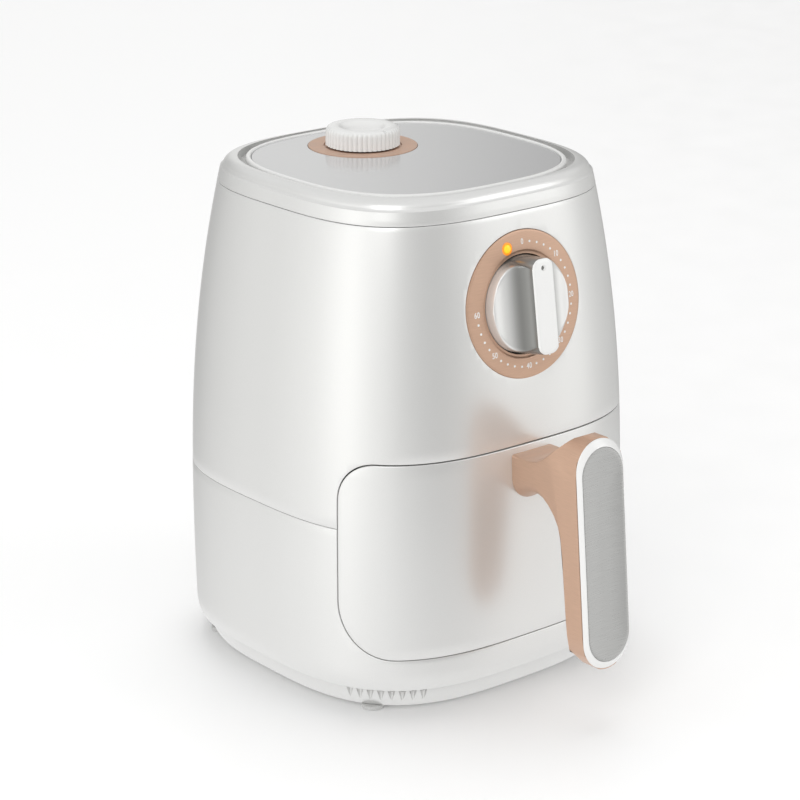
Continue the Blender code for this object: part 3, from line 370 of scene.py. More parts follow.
def round_front(obj, width, keep_ends=()):
    """Rounds the edges all round the panel's front face and its holes."""

    def rim(edge):
        if any(abs(vert.co.y) > EPS for vert in edge.verts) or len(edge.link_faces) != 2:
            return False
        if any(all(abs(vert.co.x - end) < EPS for vert in edge.verts) for end in keep_ends):
            return False
        return edge.link_faces[0].normal.dot(edge.link_faces[1].normal) < 0.9

    edit(obj)
    pick(obj, "EDGE", rim)
    bpy.ops.mesh.bevel(offset=width, segments=3, affect="EDGES")
    done()


def grid_cut(obj, across, heights):
    """Cuts the flat panel into narrow faces, so that it can follow the curve."""
    edit(obj)
    for values, normal in ((heights, (0, 0, 1)), (across, (1, 0, 0))):
        for value in values:
            bpy.ops.mesh.select_all(action="SELECT")
            place = [value * part for part in normal]
            bpy.ops.mesh.bisect(plane_co=place, plane_no=normal, threshold=EPS)
    done()


def wrap(obj, ends=()):
    """Lays the flat panel on the housing; a panel that goes all the way round is closed at its ends."""

    def at_end(face):
        return any(all(abs(vert.co.x - end) < EPS for vert in face.verts) for end in ends)

    if ends:
        edit(obj)
        pick(obj, "FACE", at_end)
        bpy.ops.mesh.delete(type="FACE")
        done()
    set_points(obj, lay_on_skin(points_of(obj)))
    face_out(obj)
    edit(obj)
    bpy.ops.mesh.select_all(action="SELECT")
    bpy.ops.mesh.dissolve_degenerate(threshold=0.04 * MM)
    bpy.ops.mesh.select_all(action="SELECT")
    bpy.ops.mesh.fill_holes(sides=8)
    done()
    face_out(obj)


def dial_matrix():
    """From a dial drawn flat, facing +Z with +Y up, to its place on the leaning front."""
    centre = Vector((0, AXIS_Y - float(front_depth(0.0, DIAL_Z)), DIAL_Z))
    return Matrix.Translation(centre) @ Euler((math.pi / 2 - DIAL_TILT, 0, 0)).to_matrix().to_4x4()


def dial_sag(across, up):
    """How far the housing's surface lies under the dial's flat plane."""
    inward = np.array([0, math.cos(DIAL_TILT), -math.sin(DIAL_TILT)])
    start_y = -front_depth(0.0, DIAL_Z) + up * math.sin(DIAL_TILT)
    start_z = DIAL_Z + up * math.cos(DIAL_TILT)
    travel = np.zeros_like(across)
    for _ in range(8):
        z = start_z + inward[2] * travel
        travel = travel + (-front_depth(across, z) - (start_y + inward[1] * travel)) / inward[1]
    return travel


def follow_front(points):
    """Lets a flat dial's outer part follow the housing, and keeps its middle flat."""
    radius = np.hypot(points[:, 0], points[:, 1])
    share = np.clip((radius - FLAT_RADIUS) / (CURVED_RADIUS - FLAT_RADIUS), 0, 1)
    share = share * share * (3 - 2 * share)
    points = points.copy()
    points[:, 2] += DIAL_PROUD - dial_sag(points[:, 0], points[:, 1]) * share
    return points


def on_dial(arm, turn):
    """A point of the flat dial, at an angle clockwise from its top."""
    return arm * math.sin(turn), arm * math.cos(turn), 0


# ---- finishes


def shader_of(mat):
    return next(node for node in mat.node_tree.nodes if node.type == "BSDF_PRINCIPLED")


def feed(tree, node, inputs):
    """Sets a node's inputs, or links them where the value is another node's output."""
    for socket, value in inputs.items():
        if isinstance(value, bpy.types.NodeSocket):
            tree.links.new(value, node.inputs[socket])
        else:
            node.inputs[socket].default_value = value


def add_node(tree, kind, output, inputs=None, **settings):
    """Adds a shader node and gives back one of its outputs."""
    node = tree.nodes.new(f"ShaderNode{kind}")
    for name, value in settings.items():
        setattr(node, name, value)
    feed(tree, node, inputs or {})
    return node.outputs[output]


def mix_colors(tree, share, low, high):
    """Mixes two colours; 6, 7 and 2 are the Mix node's colour sockets."""
    ends = [end if isinstance(end, bpy.types.NodeSocket) else (*end, 1) for end in (low, high)]
    return add_node(tree, "Mix", 2, {"Factor": share, 6: ends[0], 7: ends[1]}, data_type="RGBA")


def ease(tree, value, low, high):
    """Goes smoothly from 0 to 1 as a value goes from low to high."""
    inputs = {"Value": value, "From Min": low, "From Max": high}
    return add_node(tree, "MapRange", "Result", inputs, interpolation_type="SMOOTHSTEP")


def new_finish(name, color, roughness, metallic=0.0, **sockets):
    mat = bpy.data.materials.new(name)
    mat.use_nodes = True
    inputs = {"Base Color": (*color, 1), "Roughness": roughness, "Metallic": metallic}
    inputs.update({socket.replace("_", " "): value for socket, value in sockets.items()})
    feed(mat.node_tree, shader_of(mat), inputs)
    mat.diffuse_color = (*color, 1)
    return mat


def grain(mat, size, stretch=(1, 1, 1), bump=0.1, height=0.02, rough=(0.3, 0.4), detail=3, tint=None):
    """Fine relief and uneven gloss. size is that of one grain, stretched along an axis for brushing."""
    tree = mat.node_tree
    scale = [1 / (size * part) for part in stretch]
    place = add_node(tree, "TexCoord", "Object")
    place = add_node(tree, "Mapping", "Vector", {"Vector": place, "Scale": scale})
    noise = add_node(tree, "TexNoise", "Fac", {"Vector": place, "Scale": 1.0, "Detail": detail})
    span = {"Value": noise, "From Min": 0.3, "From Max": 0.7, "To Min": rough[0], "To Max": rough[1]}
    relief = {"Strength": bump, "Distance": height * MM, "Height": noise}
    inputs = {
        "Roughness": add_node(tree, "MapRange", "Result", span),
        "Normal": add_node(tree, "Bump", "Normal", relief),
    }
    if tint:
        spread = {"Value": noise, "From Min": 0.35, "From Max": 0.65}
        share = add_node(tree, "MapRange", "Result", spread)
        inputs["Base Color"] = mix_colors(tree, share, *tint)
    feed(tree, shader_of(mat), inputs)
    return mat


def paint_hollow_shade(mat, dark, light):
    """Painted shade and painted dark reflection in the hollows beside the grip bar: the base colour is darker
    near the bar and clears towards the knob's rim.
    """
    tree = mat.node_tree
    place = add_node(tree, "TexCoord", "Object")
    sideways = add_node(tree, "SeparateXYZ", "X", {"Vector": place})
    across = add_node(tree, "Math", "Value", {0: sideways}, operation="ABSOLUTE")
    color = mix_colors(tree, ease(tree, across, 9.5 * MM, 17 * MM), dark, light)
    feed(tree, shader_of(mat), {"Base Color": color})
    return mat


def shaded(color, amount):
    return tuple(min(1.0, part * amount) for part in color)


# Colour, roughness, metallic share, size of grain in mm and relief of the plainer finishes
PLAIN_FINISHES = {
    "foot_rubber": ((0.62, 0.62, 0.61), 0.75, 0.0, 0.5, 0.3),
    "screw_steel": ((0.5, 0.5, 0.5), 0.32, 1.0, 0.25, 0.1),
    "black_plastic": ((0.022, 0.022, 0.023), 0.5, 0.0, 0.4, 0.3),
    "switch_white": ((0.78, 0.77, 0.74), 0.4, 0.0, 0.4, 0.15),
    "nonstick": ((0.03, 0.03, 0.031), 0.42, 0.15, 0.35, 0.35),
    "silicone": ((0.035, 0.035, 0.036), 0.7, 0.0, 0.3, 0.3),
    "sheet_metal": ((0.6, 0.61, 0.62), 0.3, 1.0, 0.8, 0.15),
    "fan_aluminium": ((0.72, 0.73, 0.74), 0.35, 1.0, 0.5, 0.2),
    "element_steel": ((0.2, 0.19, 0.18), 0.38, 1.0, 0.4, 0.2),
    "motor_steel": ((0.42, 0.42, 0.43), 0.4, 1.0, 0.4, 0.2),
    "bell_brass": ((0.62, 0.45, 0.18), 0.28, 1.0, 0.4, 0.1),
}


def finish_of(slot):
    """The procedural finish that goes with a material slot of the record."""
    look = bpy.context.scene.fryer_finish
    name = f"fryer_{slot}"
    if name in bpy.data.materials:
        return bpy.data.materials[name]
    shell, copper, lid = tuple(look.shell_color), tuple(look.copper_color), tuple(look.lid_color)
    gloss = look.shell_roughness
    if slot == "pearl_shell":
        mat = new_finish(name, shell, gloss, look.shell_pearl, Coat_Weight=0.35, Coat_Roughness=0.12)
        tint = (shaded(shell, 0.985), shaded(shell, 1.01))
        rough = (gloss - 0.02, gloss + 0.03)
        return grain(mat, 0.35 * MM, bump=0.05, height=0.01, rough=rough, detail=2, tint=tint)
    if slot == "white_gloss":
        mat = new_finish(name, (0.86, 0.86, 0.85), 0.25, Coat_Weight=0.5, Coat_Roughness=0.06)
        return grain(mat, 0.5 * MM, bump=0.04, height=0.01, rough=(0.2, 0.28))
    if slot == "silver_gloss":
        mat = new_finish(name, lid, 0.16, 0.6, Coat_Weight=0.5, Coat_Roughness=0.1)
        tint = (shaded(lid, 0.97), shaded(lid, 1.02))
        return grain(mat, 0.3 * MM, bump=0.02, height=0.005, rough=(0.14, 0.19), tint=tint)
    if slot == "knob_silver":
        mat = new_finish(name, (0.66, 0.66, 0.65), 0.2, 0.45)
        grain(mat, 0.4 * MM, bump=0.03, height=0.006, rough=(0.17, 0.24), detail=2)
        # painted shade: the dark colour in the hollows stands in for shade and dark reflection there
        return paint_hollow_shade(mat, (0.25, 0.25, 0.24), (0.82, 0.82, 0.81))
    if slot == "silver_satin":
        mat = new_finish(name, (0.46, 0.46, 0.455), 0.34, 0.85)
        tint = ((0.43, 0.43, 0.425), (0.49, 0.49, 0.485))
        return grain(mat, 0.18 * MM, (60, 60, 1), 0.05, 0.01, (0.26, 0.34), 2, tint)
    if slot == "rose_gold":
        mat = new_finish(name, copper, 0.4, 0.45, Coat_Weight=0.1, Coat_Roughness=0.2)
        tint = (shaded(copper, 0.94), shaded(copper, 1.04))
        return grain(mat, 0.16 * MM, (50, 50, 1), 0.14, 0.015, (0.36, 0.46), 2, tint)
    if slot == "amber_lens":
        glow = (1.0, 0.5, 0.02, 1)
        return new_finish(name, (1.0, 0.45, 0.02), 0.2, Emission_Color=glow, Emission_Strength=0.75)
    color, roughness, metallic, size, bump = PLAIN_FINISHES[slot]
    mat = new_finish(name, color, roughness, metallic)
    tint = (shaded(color, 0.92), shaded(color, 1.06))
    rough = (roughness - 0.05, roughness + 0.06)
    return grain(mat, size * MM, bump=bump, height=0.03, rough=rough, tint=tint)


def hand_over(obj, body, slot, *nodes, smooth=32):
    """Gives a finished piece its finish and its body, and hides the CAD nodes that it stands for."""
    take(obj)
    bpy.ops.object.shade_smooth_by_angle(angle=math.radians(smooth))
    obj.data.materials.clear()
    obj.data.materials.append(finish_of(slot))
    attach(obj, body)
    if nodes:
        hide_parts(*nodes)


# ---- housing


def columns(low, high):
    """Places about 3 mm apart, to cut a panel at."""
    count = int(round((high - low) / (3 * MM)))
    return np.linspace(low, high, count + 1)[1:-1]


def panel_hole(low, high, low_corner=0.0, high_corner=0.0, deep=20 * MM):
    """A cutter that goes right through a flat panel."""
    return flat_panel("hole", low, high, deep, low_corner, high_corner, -deep / 2)


def drawer_hole(gap):
    low = (-DRAWER_HALF - gap, DRAWER_LOW_Z - gap)
    high = (DRAWER_HALF + gap, DRAWER_HIGH_Z + gap + 0.25 * MM)
    return panel_hole(low, high, DRAWER_LOW_CORNER + gap, DRAWER_TOP_CORNER + gap)


def round_hole(along, height, radius, on_front=True):
    """A round cutter; on the front its outline is unrolled, so that it is round once laid on the skin."""
    turn = (math.pi / 2, 0, 0)
    tool = start("round_hole", "cylinder", vertices=96, radius=radius, depth=20 * MM, rotation=turn)
    settle(tool)
    points = points_of(tool)
    x, z = points[:, 0], points[:, 2] * (math.cos(DIAL_TILT) if on_front else 1) + height
    points[:, 0] = along_of(x, z) if on_front else x + along
    points[:, 2] = z
    set_points(tool, points)
    return tool


def make_shells():
    """The two moulded skins, whose ends meet at the back right corner."""
    look = bpy.context.scene.fryer_body
    low, high = SIDE_SEAM_Z - look.seam_gap / 2, SIDE_SEAM_Z + look.seam_gap / 2
    top = COLLAR_SEAM_Z - look.seam_gap / 2
    ends = (-HALF_ROUND - END_SEAM, HALF_ROUND - END_SEAM)
    upper = flat_panel("upper_shell", (ends[0], high), (ends[1], top), WALL)
    across = VENT_HALF + VENT_FIT
    vent_low = (-HALF_ROUND - across, VENT_LOW_Z - VENT_FIT)
    vent_high = (-HALF_ROUND + across, VENT_HIGH_Z + VENT_FIT)
    vent = panel_hole(vent_low, vent_high, 6 * MM, 6 * MM)
    cut(upper, drawer_hole(look.drawer_gap), round_hole(0, DIAL_Z, DIAL_RADIUS + 0.15 * MM), vent)
    round_front(upper, 0.35 * MM, ends)
    grid_cut(upper, columns(*ends), np.arange(106, 252, 6) * MM)
    wrap(upper, ends)
    hand_over(upper, "housing", "pearl_shell", "upper_housing")

    lower = flat_panel("lower_shell", (ends[0], CREASE_Z), (ends[1], low), WALL)
    gland = round_hole(-HALF_ROUND - GLAND_X, GLAND_Z, 6.8 * MM, False)
    cut(lower, drawer_hole(look.drawer_gap), gland)
    round_front(lower, 0.35 * MM, ends)
    turn = CREASE_Z + TURN_HEIGHT * (1 - np.cos(np.linspace(0, math.pi / 2, 9)[1:]))
    grid_cut(lower, columns(*ends), np.concatenate([turn, np.arange(29, 98, 6) * MM]))
    wrap(lower, ends)
    hand_over(lower, "housing", "pearl_shell", "lower_housing")


def make_collar():
    """The top ring: rounded outer rim, a groove inside it and the ledge under the lid."""
    base = COLLAR_SEAM_Z + bpy.context.scene.fryer_body.seam_gap / 2
    profile = []
    for rise, inset in ((0, 0.2), (0.08, 0.06), (0.2, 0), (3, 0)):
        z = base + rise * MM
        profile.append((half_width(z) - inset * MM, z))
    profile.append((half_width(TOP_Z - RIM_RADIUS), TOP_Z - RIM_RADIUS))
    edge = half_width(TOP_Z)
    profile += fillet((edge - RIM_RADIUS, TOP_Z - RIM_RADIUS), RIM_RADIUS, 0, 90, 9)[1:]
    edge -= RIM_RADIUS
    profile += fillet((edge - 0.5 * MM, TOP_Z - 0.7 * MM), 0.7 * MM, 80, 0, 4)
    inner, ledge, under = edge - 0.1 * MM, TOP_Z - 4.6 * MM, TOP_Z - 6.4 * MM
    profile += [(inner, ledge), (inner - 12 * MM, ledge), (inner - 12 * MM, under)]
    profile += [(edge - 2 * MM, under), (edge + 0.5 * MM, TOP_Z - 9 * MM), (edge + 1.5 * MM, base)]

    def power(half):
        share = np.clip((half - 75 * MM) / (5 * MM), 0, 1)
        return LID_CORNER + (CORNER_HIGH - LID_CORNER) * share

    rings = squared_rings(profile, power, half_width(TOP_Z) * (1 - DEPTH_RATIO))
    collar = draw_out("rim_collar", rings, joined=True)
    hand_over(collar, "housing", "pearl_shell", "top_collar", smooth=40)


def make_lid():
    """A raised white lip round a glossy silver face, in which the temperature bezel sits."""
    half, low = 75.2 * MM, 260.9 * MM
    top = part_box("lid_panel")[1][2] + 0.35 * MM
    lip = [(half - 0.5 * MM, low), (half, low + 0.5 * MM), (half, top - 1.3 * MM)]
    lip += fillet((half - 1.3 * MM, top - 1.3 * MM), 1.3 * MM, 15, 90, 6)
    lip += fillet((half - 1.9 * MM, top - 0.7 * MM), 0.7 * MM, 90, 170, 5)
    lip += [(half - 2.7 * MM, top - 1.6 * MM), (half - 2.7 * MM, low)]
    lip = draw_out("lid_lip", squared_rings(lip, LID_CORNER), joined=True)
    hand_over(lip, "housing", "white_gloss", smooth=40)

    half -= 2.85 * MM
    level = top - 0.7 * MM
    face = [(half, low), (half, level - 0.25 * MM)]
    face += [(half - 0.08 * MM, level - 0.08 * MM), (half - 0.3 * MM, level)]
    lid = draw_out("lid_face", squared_rings(face, LID_CORNER))
    place = (0, TEMP_Y, level + 1.6 * MM)
    recess = start("recess", "cylinder", vertices=128, radius=28.95 * MM, depth=6 * MM, location=place)
    settle(recess)
    cut(lid, recess)
    soften(lid, 0.12 * MM, 2, 50)
    hand_over(lid, "housing", "silver_gloss", "lid_panel", smooth=8)


def make_base():
    """The hollow-flared foot of the housing, with its corner air slots: a lit scoop under each vent."""
    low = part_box("base_tray")[0][2]
    edge = half_width(CREASE_Z)
    drop = edge * (1 - DEPTH_RATIO)
    flare = [(9.2, low), (8.9, low + 0.35 * MM), (8.2, low + 1.5 * MM), (7.5, 5.0 * MM), (6.8, 6.8 * MM)]
    flare += [(6.25, 8.6 * MM), (5.85, 10.5 * MM), (5.65, 12.2 * MM), (5.6, 13.3 * MM)]
    inner = [(8.4, 13.3 * MM), (8.8, 9 * MM), (9.8, 6 * MM), (11.8, 4.4 * MM)]
    profile = [(edge - inset * MM, z) for inset, z in flare + inner]
    base = draw_out("base_ring", squared_rings(profile, CORNER_LOW, drop, 320))

    def slots(kind, inset, height, lean, **settings):
        """Cutters in a row round each corner, as one mesh."""
        tools = []
        for corner in range(4):
            for step in range(8):
                angle = math.radians(45 + 90 * corner) + math.radians(2.955) * (step - 3.5)
                x, y = squared(angle, edge - inset, edge - drop - inset, CORNER_LOW)
                place = Matrix.Translation((float(x), float(y) + AXIS_Y, height))
                tilt = Matrix.Rotation(math.radians(lean), 4, "X")
                tools.append(start("slot", kind, **settings))
                settle(tools[-1], place @ Matrix.Rotation(angle, 4, "Z") @ tilt)
        return join(tools, "slots")

    scoop = {"vertices": 32, "radius1": 0.05 * MM, "radius2": 2.45 * MM, "depth": 9.6 * MM}
    vent = {"vertices": 24, "radius": 1.5 * MM, "depth": 6 * MM, "rotation": (math.pi / 2, 0, 0)}
    scoops = slots("cone", 6.2 * MM, 9.6 * MM, 13, **scoop)
    cut(base, scoops, slots("cylinder", 7.4 * MM, 12.4 * MM, 0, **vent))
    hand_over(base, "housing", "pearl_shell", "base_tray", smooth=28)


def make_feet():
    """Four rubber pads: one is modelled, and the others are its copies."""
    first = None
    for name in ("front_left", "front_right", "rear_left", "rear_right"):
        low, high = (Vector(corner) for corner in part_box(f"foot_{name}"))
        centre = (low + high) / 2
        if first is None:
            radius, tall = (high.x - low.x) / 2, high.z - low.z
            profile = [(radius - 0.6 * MM, 0)] + fillet((radius - 0.6 * MM, 0.6 * MM), 0.6 * MM, -60, 0, 3)
            profile += [(radius, tall)]
            first = foot = draw_out(f"pad_{name}", turned_rings(profile, 48, centre))
            home = centre
        else:
            shift = Matrix.Translation((centre.x - home.x, centre.y - home.y, 0))
            foot = copy_of(first, f"pad_{name}", shift)
        hand_over(foot, "housing", "foot_rubber", f"foot_{name}")


def make_rear():
    """The slotted rear vent panel, and the gland where the mains lead would come out."""
    low, high = (-HALF_ROUND - VENT_HALF, VENT_LOW_Z), (-HALF_ROUND + VENT_HALF, VENT_HIGH_Z)
    vent = flat_panel("rear_vent", low, high, 2 * MM, 5.7 * MM, 5.7 * MM)
    for row in range(6):
        z = (175.5 + 5.8 * row) * MM
        left, right = -HALF_ROUND - 34 * MM, -HALF_ROUND + 34 * MM
        slot = panel_hole((left, z - 1.5 * MM), (right, z + 1.5 * MM), deep=8 * MM)
        soften(slot, 1.45 * MM, 6, 60)
        cut(vent, slot)
    round_front(vent, 0.3 * MM)
    grid_cut(vent, columns(low[0], high[0]), ())
    wrap(vent)
    hand_over(vent, "housing", "pearl_shell", "rear_grille")

    low, high = (Vector(corner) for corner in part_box("cord_gland"))
    reach = high.y - low.y
    profile = [(3.4, 0), (6.4, 0), (6.4, 6.7), (8.4, 6.8), (8.5, 7.2), (8.5, 9.0), (8.2, 9.4)]
    for step in range(3):
        z = 9.5 + step
        profile += [(7.6 - 0.4 * step, z), (7.6 - 0.4 * step, z + 0.45), (6.6 - 0.4 * step, z + 0.55)]
        profile += [(6.6 - 0.4 * step, z + 0.9)]
    profile = [(r * MM, min(z * MM, reach)) for r, z in profile] + [(3.4 * MM, reach)]
    gland = draw_out("cord_outlet", turned_rings(profile, 64), joined=True)
    place = Matrix.Translation(((low.x + high.x) / 2, low.y, (low.z + high.z) / 2))
    settle(gland, place @ Euler((-math.pi / 2, 0, 0)).to_matrix().to_4x4())
    hand_over(gland, "housing", "black_plastic", "cord_gland")


# ---- dials


def make_temperature_bezel():
    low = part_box("temperature_ring")[0][2]
    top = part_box("temperature_ring")[1][2] - 0.3 * MM
    profile = [(28.5, low), (28.75, low + 0.2 * MM), (28.75, top - 0.12 * MM), (28.63, top), (20.6, top)]
    profile += [(20.4, top - 0.25 * MM), (20.3, top - 0.6 * MM), (5, top - 0.6 * MM), (5, low)]
    rings = turned_rings([(radius * MM, z) for radius, z in profile], 128, (0, TEMP_Y))
    hand_over(draw_out("temperature_bezel", rings, joined=True), "housing", "rose_gold", "temperature_ring")


def make_temperature_dial():
    """A ribbed knob with a rounded edge, a flat rim, a dished middle and a pointer notch."""
    look = bpy.context.scene.fryer_dials
    low, high = (Vector(corner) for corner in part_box("temperature_knob"))
    radius, ribs = 19.7 * MM, look.rib_count
    angle = 2 * math.pi * np.arange(ribs * 10) / (ribs * 10)
    flute = 1 - np.abs(np.cos(angle * ribs / 2)) ** 0.7
    levels = [(0, 0, 1), (0.15, 0.35, 1), (0.15, 6.6, 1), (0.25, 7.6, 0.9), (0.6, 8.5, 0.55)]
    levels += [(1.1, 9.15, 0.2)]
    levels += [(1.7, 9.5, 0), (2.4, 9.7, 0), (6.6, 9.68, 0), (7.6, 9.5, 0), (8.4, 9.1, 0), (9.2, 8.5, 0)]
    levels += [(10.2, 8.0, 0), (11.6, 7.65, 0), (13.5, 7.5, 0), (16, 7.45, 0), (18.5, 7.45, 0)]
    rings = []
    for inset, lift, depth in levels:
        reach = radius - inset * MM - 0.8 * MM * depth * flute
        z = min(low.z + lift * MM, high.z)
        x, y = reach * np.cos(angle), TEMP_Y + reach * np.sin(angle)
        rings.append(np.stack([x, y, np.full(angle.shape, z)], axis=-1))
    knob = draw_out("temperature_dial", rings)
    notch = start("notch", "cube", size=1, location=(0, TEMP_Y - radius + 1.1 * MM, high.z))
    notch.scale = (1.7 * MM, 4.4 * MM, 1.7 * MM)
    settle(notch)
    cut(knob, notch)
    hand_over(knob, "temperature_dial", "white_gloss", "temperature_knob", smooth=38)


def make_timer_bezel():
    """A flat copper ring that follows the housing outside, with a moat round the knob and a lamp hole."""
    profile = [(37.1, -2.6), (37.35, -0.4), (37.28, -0.12), (37.05, 0), (36, 0), (33, 0), (30, 0), (27.9, 0)]
    profile += [(27.5, -0.06), (27.2, -0.2), (27.0, -0.5), (26.7, -1.0), (26.4, -1.2), (25.35, -1.25)]
    profile += [(25.3, -6.4), (28, -6.4), (35, -3)]
    bezel = draw_out("timer_bezel", turned_rings(in_mm(profile), 160), joined=True)
    set_points(bezel, follow_front(points_of(bezel)))
    place = on_dial(LAMP_ARM, math.radians(bpy.context.scene.fryer_dials.lamp_angle))
    hole = start("lamp_hole", "cylinder", vertices=48, radius=3.3 * MM, depth=16 * MM, location=place)
    settle(hole)
    cut(bezel, hole)
    settle(bezel, dial_matrix())
    hand_over(bezel, "housing", "rose_gold", "timer_ring")


def make_timer_marks():
    """Minutes in tens, with four dots between each, printed white on the bezel."""
    look = bpy.context.scene.fryer_dials
    step, first = math.radians(look.mark_step), math.radians(2)
    bolder, above = 0.045 * MM, 0.045 * MM
    marks = []
    for index in range(7):
        angle = first + step * index
        bpy.ops.object.select_all(action="DESELECT")
        bpy.ops.object.text_add()
        text = bpy.context.object
        text.data.body = str(10 * index)
        text.data.size = look.numeral_height * 1.42
        text.data.offset = bolder
        text.data.align_x, text.data.align_y = "CENTER", "CENTER"
        text.data.space_character = 1.08
        text.data.extrude = 0.05 * MM
        text.data.resolution_u = 5
        bpy.ops.object.convert(target="MESH")
        narrow = Matrix.Diagonal((0.8, 1, 1, 1))
        marks.append(bpy.context.object)
        settle(marks[-1], Matrix.Translation(on_dial(MARK_ARM, angle)) @ narrow)
        for dot in range(1, 5) if index < 6 else ():
            place = on_dial(MARK_ARM, angle + step * dot / 5)
            size = {"vertices": 20, "radius": 0.62 * MM, "depth": 0.1 * MM}
            marks.append(start("dot", "cylinder", location=place, **size))
            settle(marks[-1])
    marks = join(marks, "timer_marks")
    points = points_of(marks)
    points[:, 2] += above
    set_points(marks, follow_front(points))
    settle(marks, dial_matrix())
    face_out(marks)
    hand_over(marks, "housing", "white_gloss")


def make_lamp():
    """The amber ready lamp: a domed lens in a thin orange collar."""
    x, y, _ = on_dial(LAMP_ARM, math.radians(bpy.context.scene.fryer_dials.lamp_angle))
    rise = DIAL_PROUD - float(dial_sag(np.array([x]), np.array([y]))[0])
    dome = [(2.1 * math.cos(t), 0.2 + 0.7 * math.sin(t)) for t in np.radians((25, 50, 72, 86))]
    dome = [(2.1, -4.2), (2.1, 0.2), *dome]
    rim = [(2.15, -3), (2.15, 0.1), (2.3, 0.25), (2.9, 0.2), (3.2, 0.02), (3.25, -3)]
    for name, profile, joined, nodes in (
        ("lamp_lens", dome, False, ["indicator_lens"]),
        ("lamp_collar", rim, True, []),
    ):
        lamp = draw_out(name, turned_rings(in_mm(profile), 48, (x, y)), joined)
        points = points_of(lamp)
        points[:, 2] += rise
        set_points(lamp, points)
        settle(lamp, dial_matrix())
        hand_over(lamp, "housing", "amber_lens", *nodes)
    glow = {"Emission_Color": (1.0, 0.3, 0.01, 1), "Emission_Strength": 0.4}
    lamp.data.materials[0] = new_finish("fryer_lamp_collar", (0.85, 0.3, 0.03), 0.35, **glow)


def make_timer_grip():
    """A round knob with hollow flanks that rise to a grip bar, drawn as sections across the bar."""
    radius, disc, top, bar, base = 25 * MM, 5 * MM, 15.8 * MM, 6.75 * MM, -4.2 * MM
    flank, rim, corner, length, crown = 21 * MM, 0.9 * MM, 5 * MM, 24 * MM, 1.2 * MM
    out = list(np.linspace(0, bar - crown, 6))
    out += list(bar - crown + crown * np.sin(np.linspace(0.15, 1.5, 7)))
    out += list(flank - (flank - bar) * np.sin(np.linspace(0, math.pi / 2, 27)[::-1]))[1:]
    out += [22 * MM, 23 * MM, *(radius - rim + rim * np.sin(np.linspace(0.05, 1.52, 7)))]
    across = np.array(sorted({round(value, 7) for value in out}))
    across = np.concatenate([-across[:0:-1], across])

    def under_arc(radius, past):
        """How far a rounded edge has dropped, this far past its start."""
        return radius - math.sqrt(max(radius**2 - max(past, 0) ** 2, 0))

    def height(x):
        x = abs(x)
        if x <= bar:
            return top - under_arc(crown, x - (bar - crown))
        if x >= flank:
            return disc - under_arc(rim, x - (radius - rim))
        share = (flank - x) / (flank - bar)
        return top - crown - (top - crown - disc) * math.sqrt(max(1 - share**2, 0))

    def reach(x, level):
        """Half the knob's length at x: the round disc low down, the bar's rounded end at its top."""
        disc_end = math.sqrt(max(radius**2 - x**2, (0.3 * MM) ** 2))
        bar_end = length - under_arc(corner, min(abs(x) - (bar - corner), corner))
        share = min(max((level - disc) / (top - disc), 0), 1)
        return min(disc_end, disc_end + (bar_end - disc_end) * share)

    sections = []
    bend = np.linspace(0, math.pi / 2, 6)
    for x in across:
        level = height(x)
        end = reach(x, level)
        soft = min(rim, end * 0.9)
        half = [(end * share, level) for share in np.linspace(0, 1 - soft / end, 12)][:-1]
        half += [(end - soft + soft * math.sin(t), level - soft * (1 - math.cos(t))) for t in bend]
        wall = max(reach(x, disc), end)
        edge = level - soft
        half += [(end + (wall - end) * share, edge + (base - edge) * share) for share in (0.35, 0.7, 1.0)]
        half += [(wall * 0.5, base)]
        ring = half + [(0.0, base)] + [(-y, z) for y, z in reversed(half[1:])]
        sections.append([(x, y, z) for y, z in ring])
    grip = draw_out("timer_grip", sections)
    size = {"segments": 24, "ring_count": 12, "radius": 1.5 * MM}
    dimple = start("dimple", "uv_sphere", location=(0, 19.3 * MM, top + 0.25 * MM), **size)
    settle(dimple)
    cut(grip, dimple)
    on_bar = points_of(grip)[:, 2] > top - 0.9 * MM
    bar_faces = [face.index for face in grip.data.polygons if all(on_bar[list(face.vertices)])]
    settle(grip, dial_matrix())
    hand_over(grip, "timer_dial", "silver_gloss", "timer_knob", smooth=40)
    grip.data.materials[0] = finish_of("knob_silver")
    grip.data.materials.append(finish_of("white_gloss"))
    for index in bar_faces:
        grip.data.polygons[index].material_index = 1


# ---- drawer and handle


def make_drawer_face():
    low, high = (-DRAWER_HALF, DRAWER_LOW_Z), (DRAWER_HALF, DRAWER_HIGH_Z)
    face = flat_panel("drawer_face", low, high, WALL, DRAWER_LOW_CORNER, DRAWER_TOP_CORNER)
    round_front(face, 0.45 * MM)
    grid_cut(face, columns(-DRAWER_HALF, DRAWER_HALF), np.arange(38, 134, 6) * MM)
    wrap(face)
    hand_over(face, "drawer", "pearl_shell", "drawer_front")


def tub_ring(outset, z):
    """One level of the tub: a rounded oblong, its lip half as wide at the front and back."""
    half, front, back = TUB_HALF + outset, TUB_FRONT - outset / 2, TUB_BACK + outset / 2
    corner = max(TUB_CORNER + outset, 3 * MM)
    ring = []
    for first, x, y in ((0, half, back), (90, -half, back), (180, -half, front), (270, half, front)):
        centre = (x - math.copysign(corner, x), y - math.copysign(corner, y))
        ring += [(px, py + AXIS_Y, z) for px, py in fillet(centre, corner, first, first + 90, 12)]
    return ring


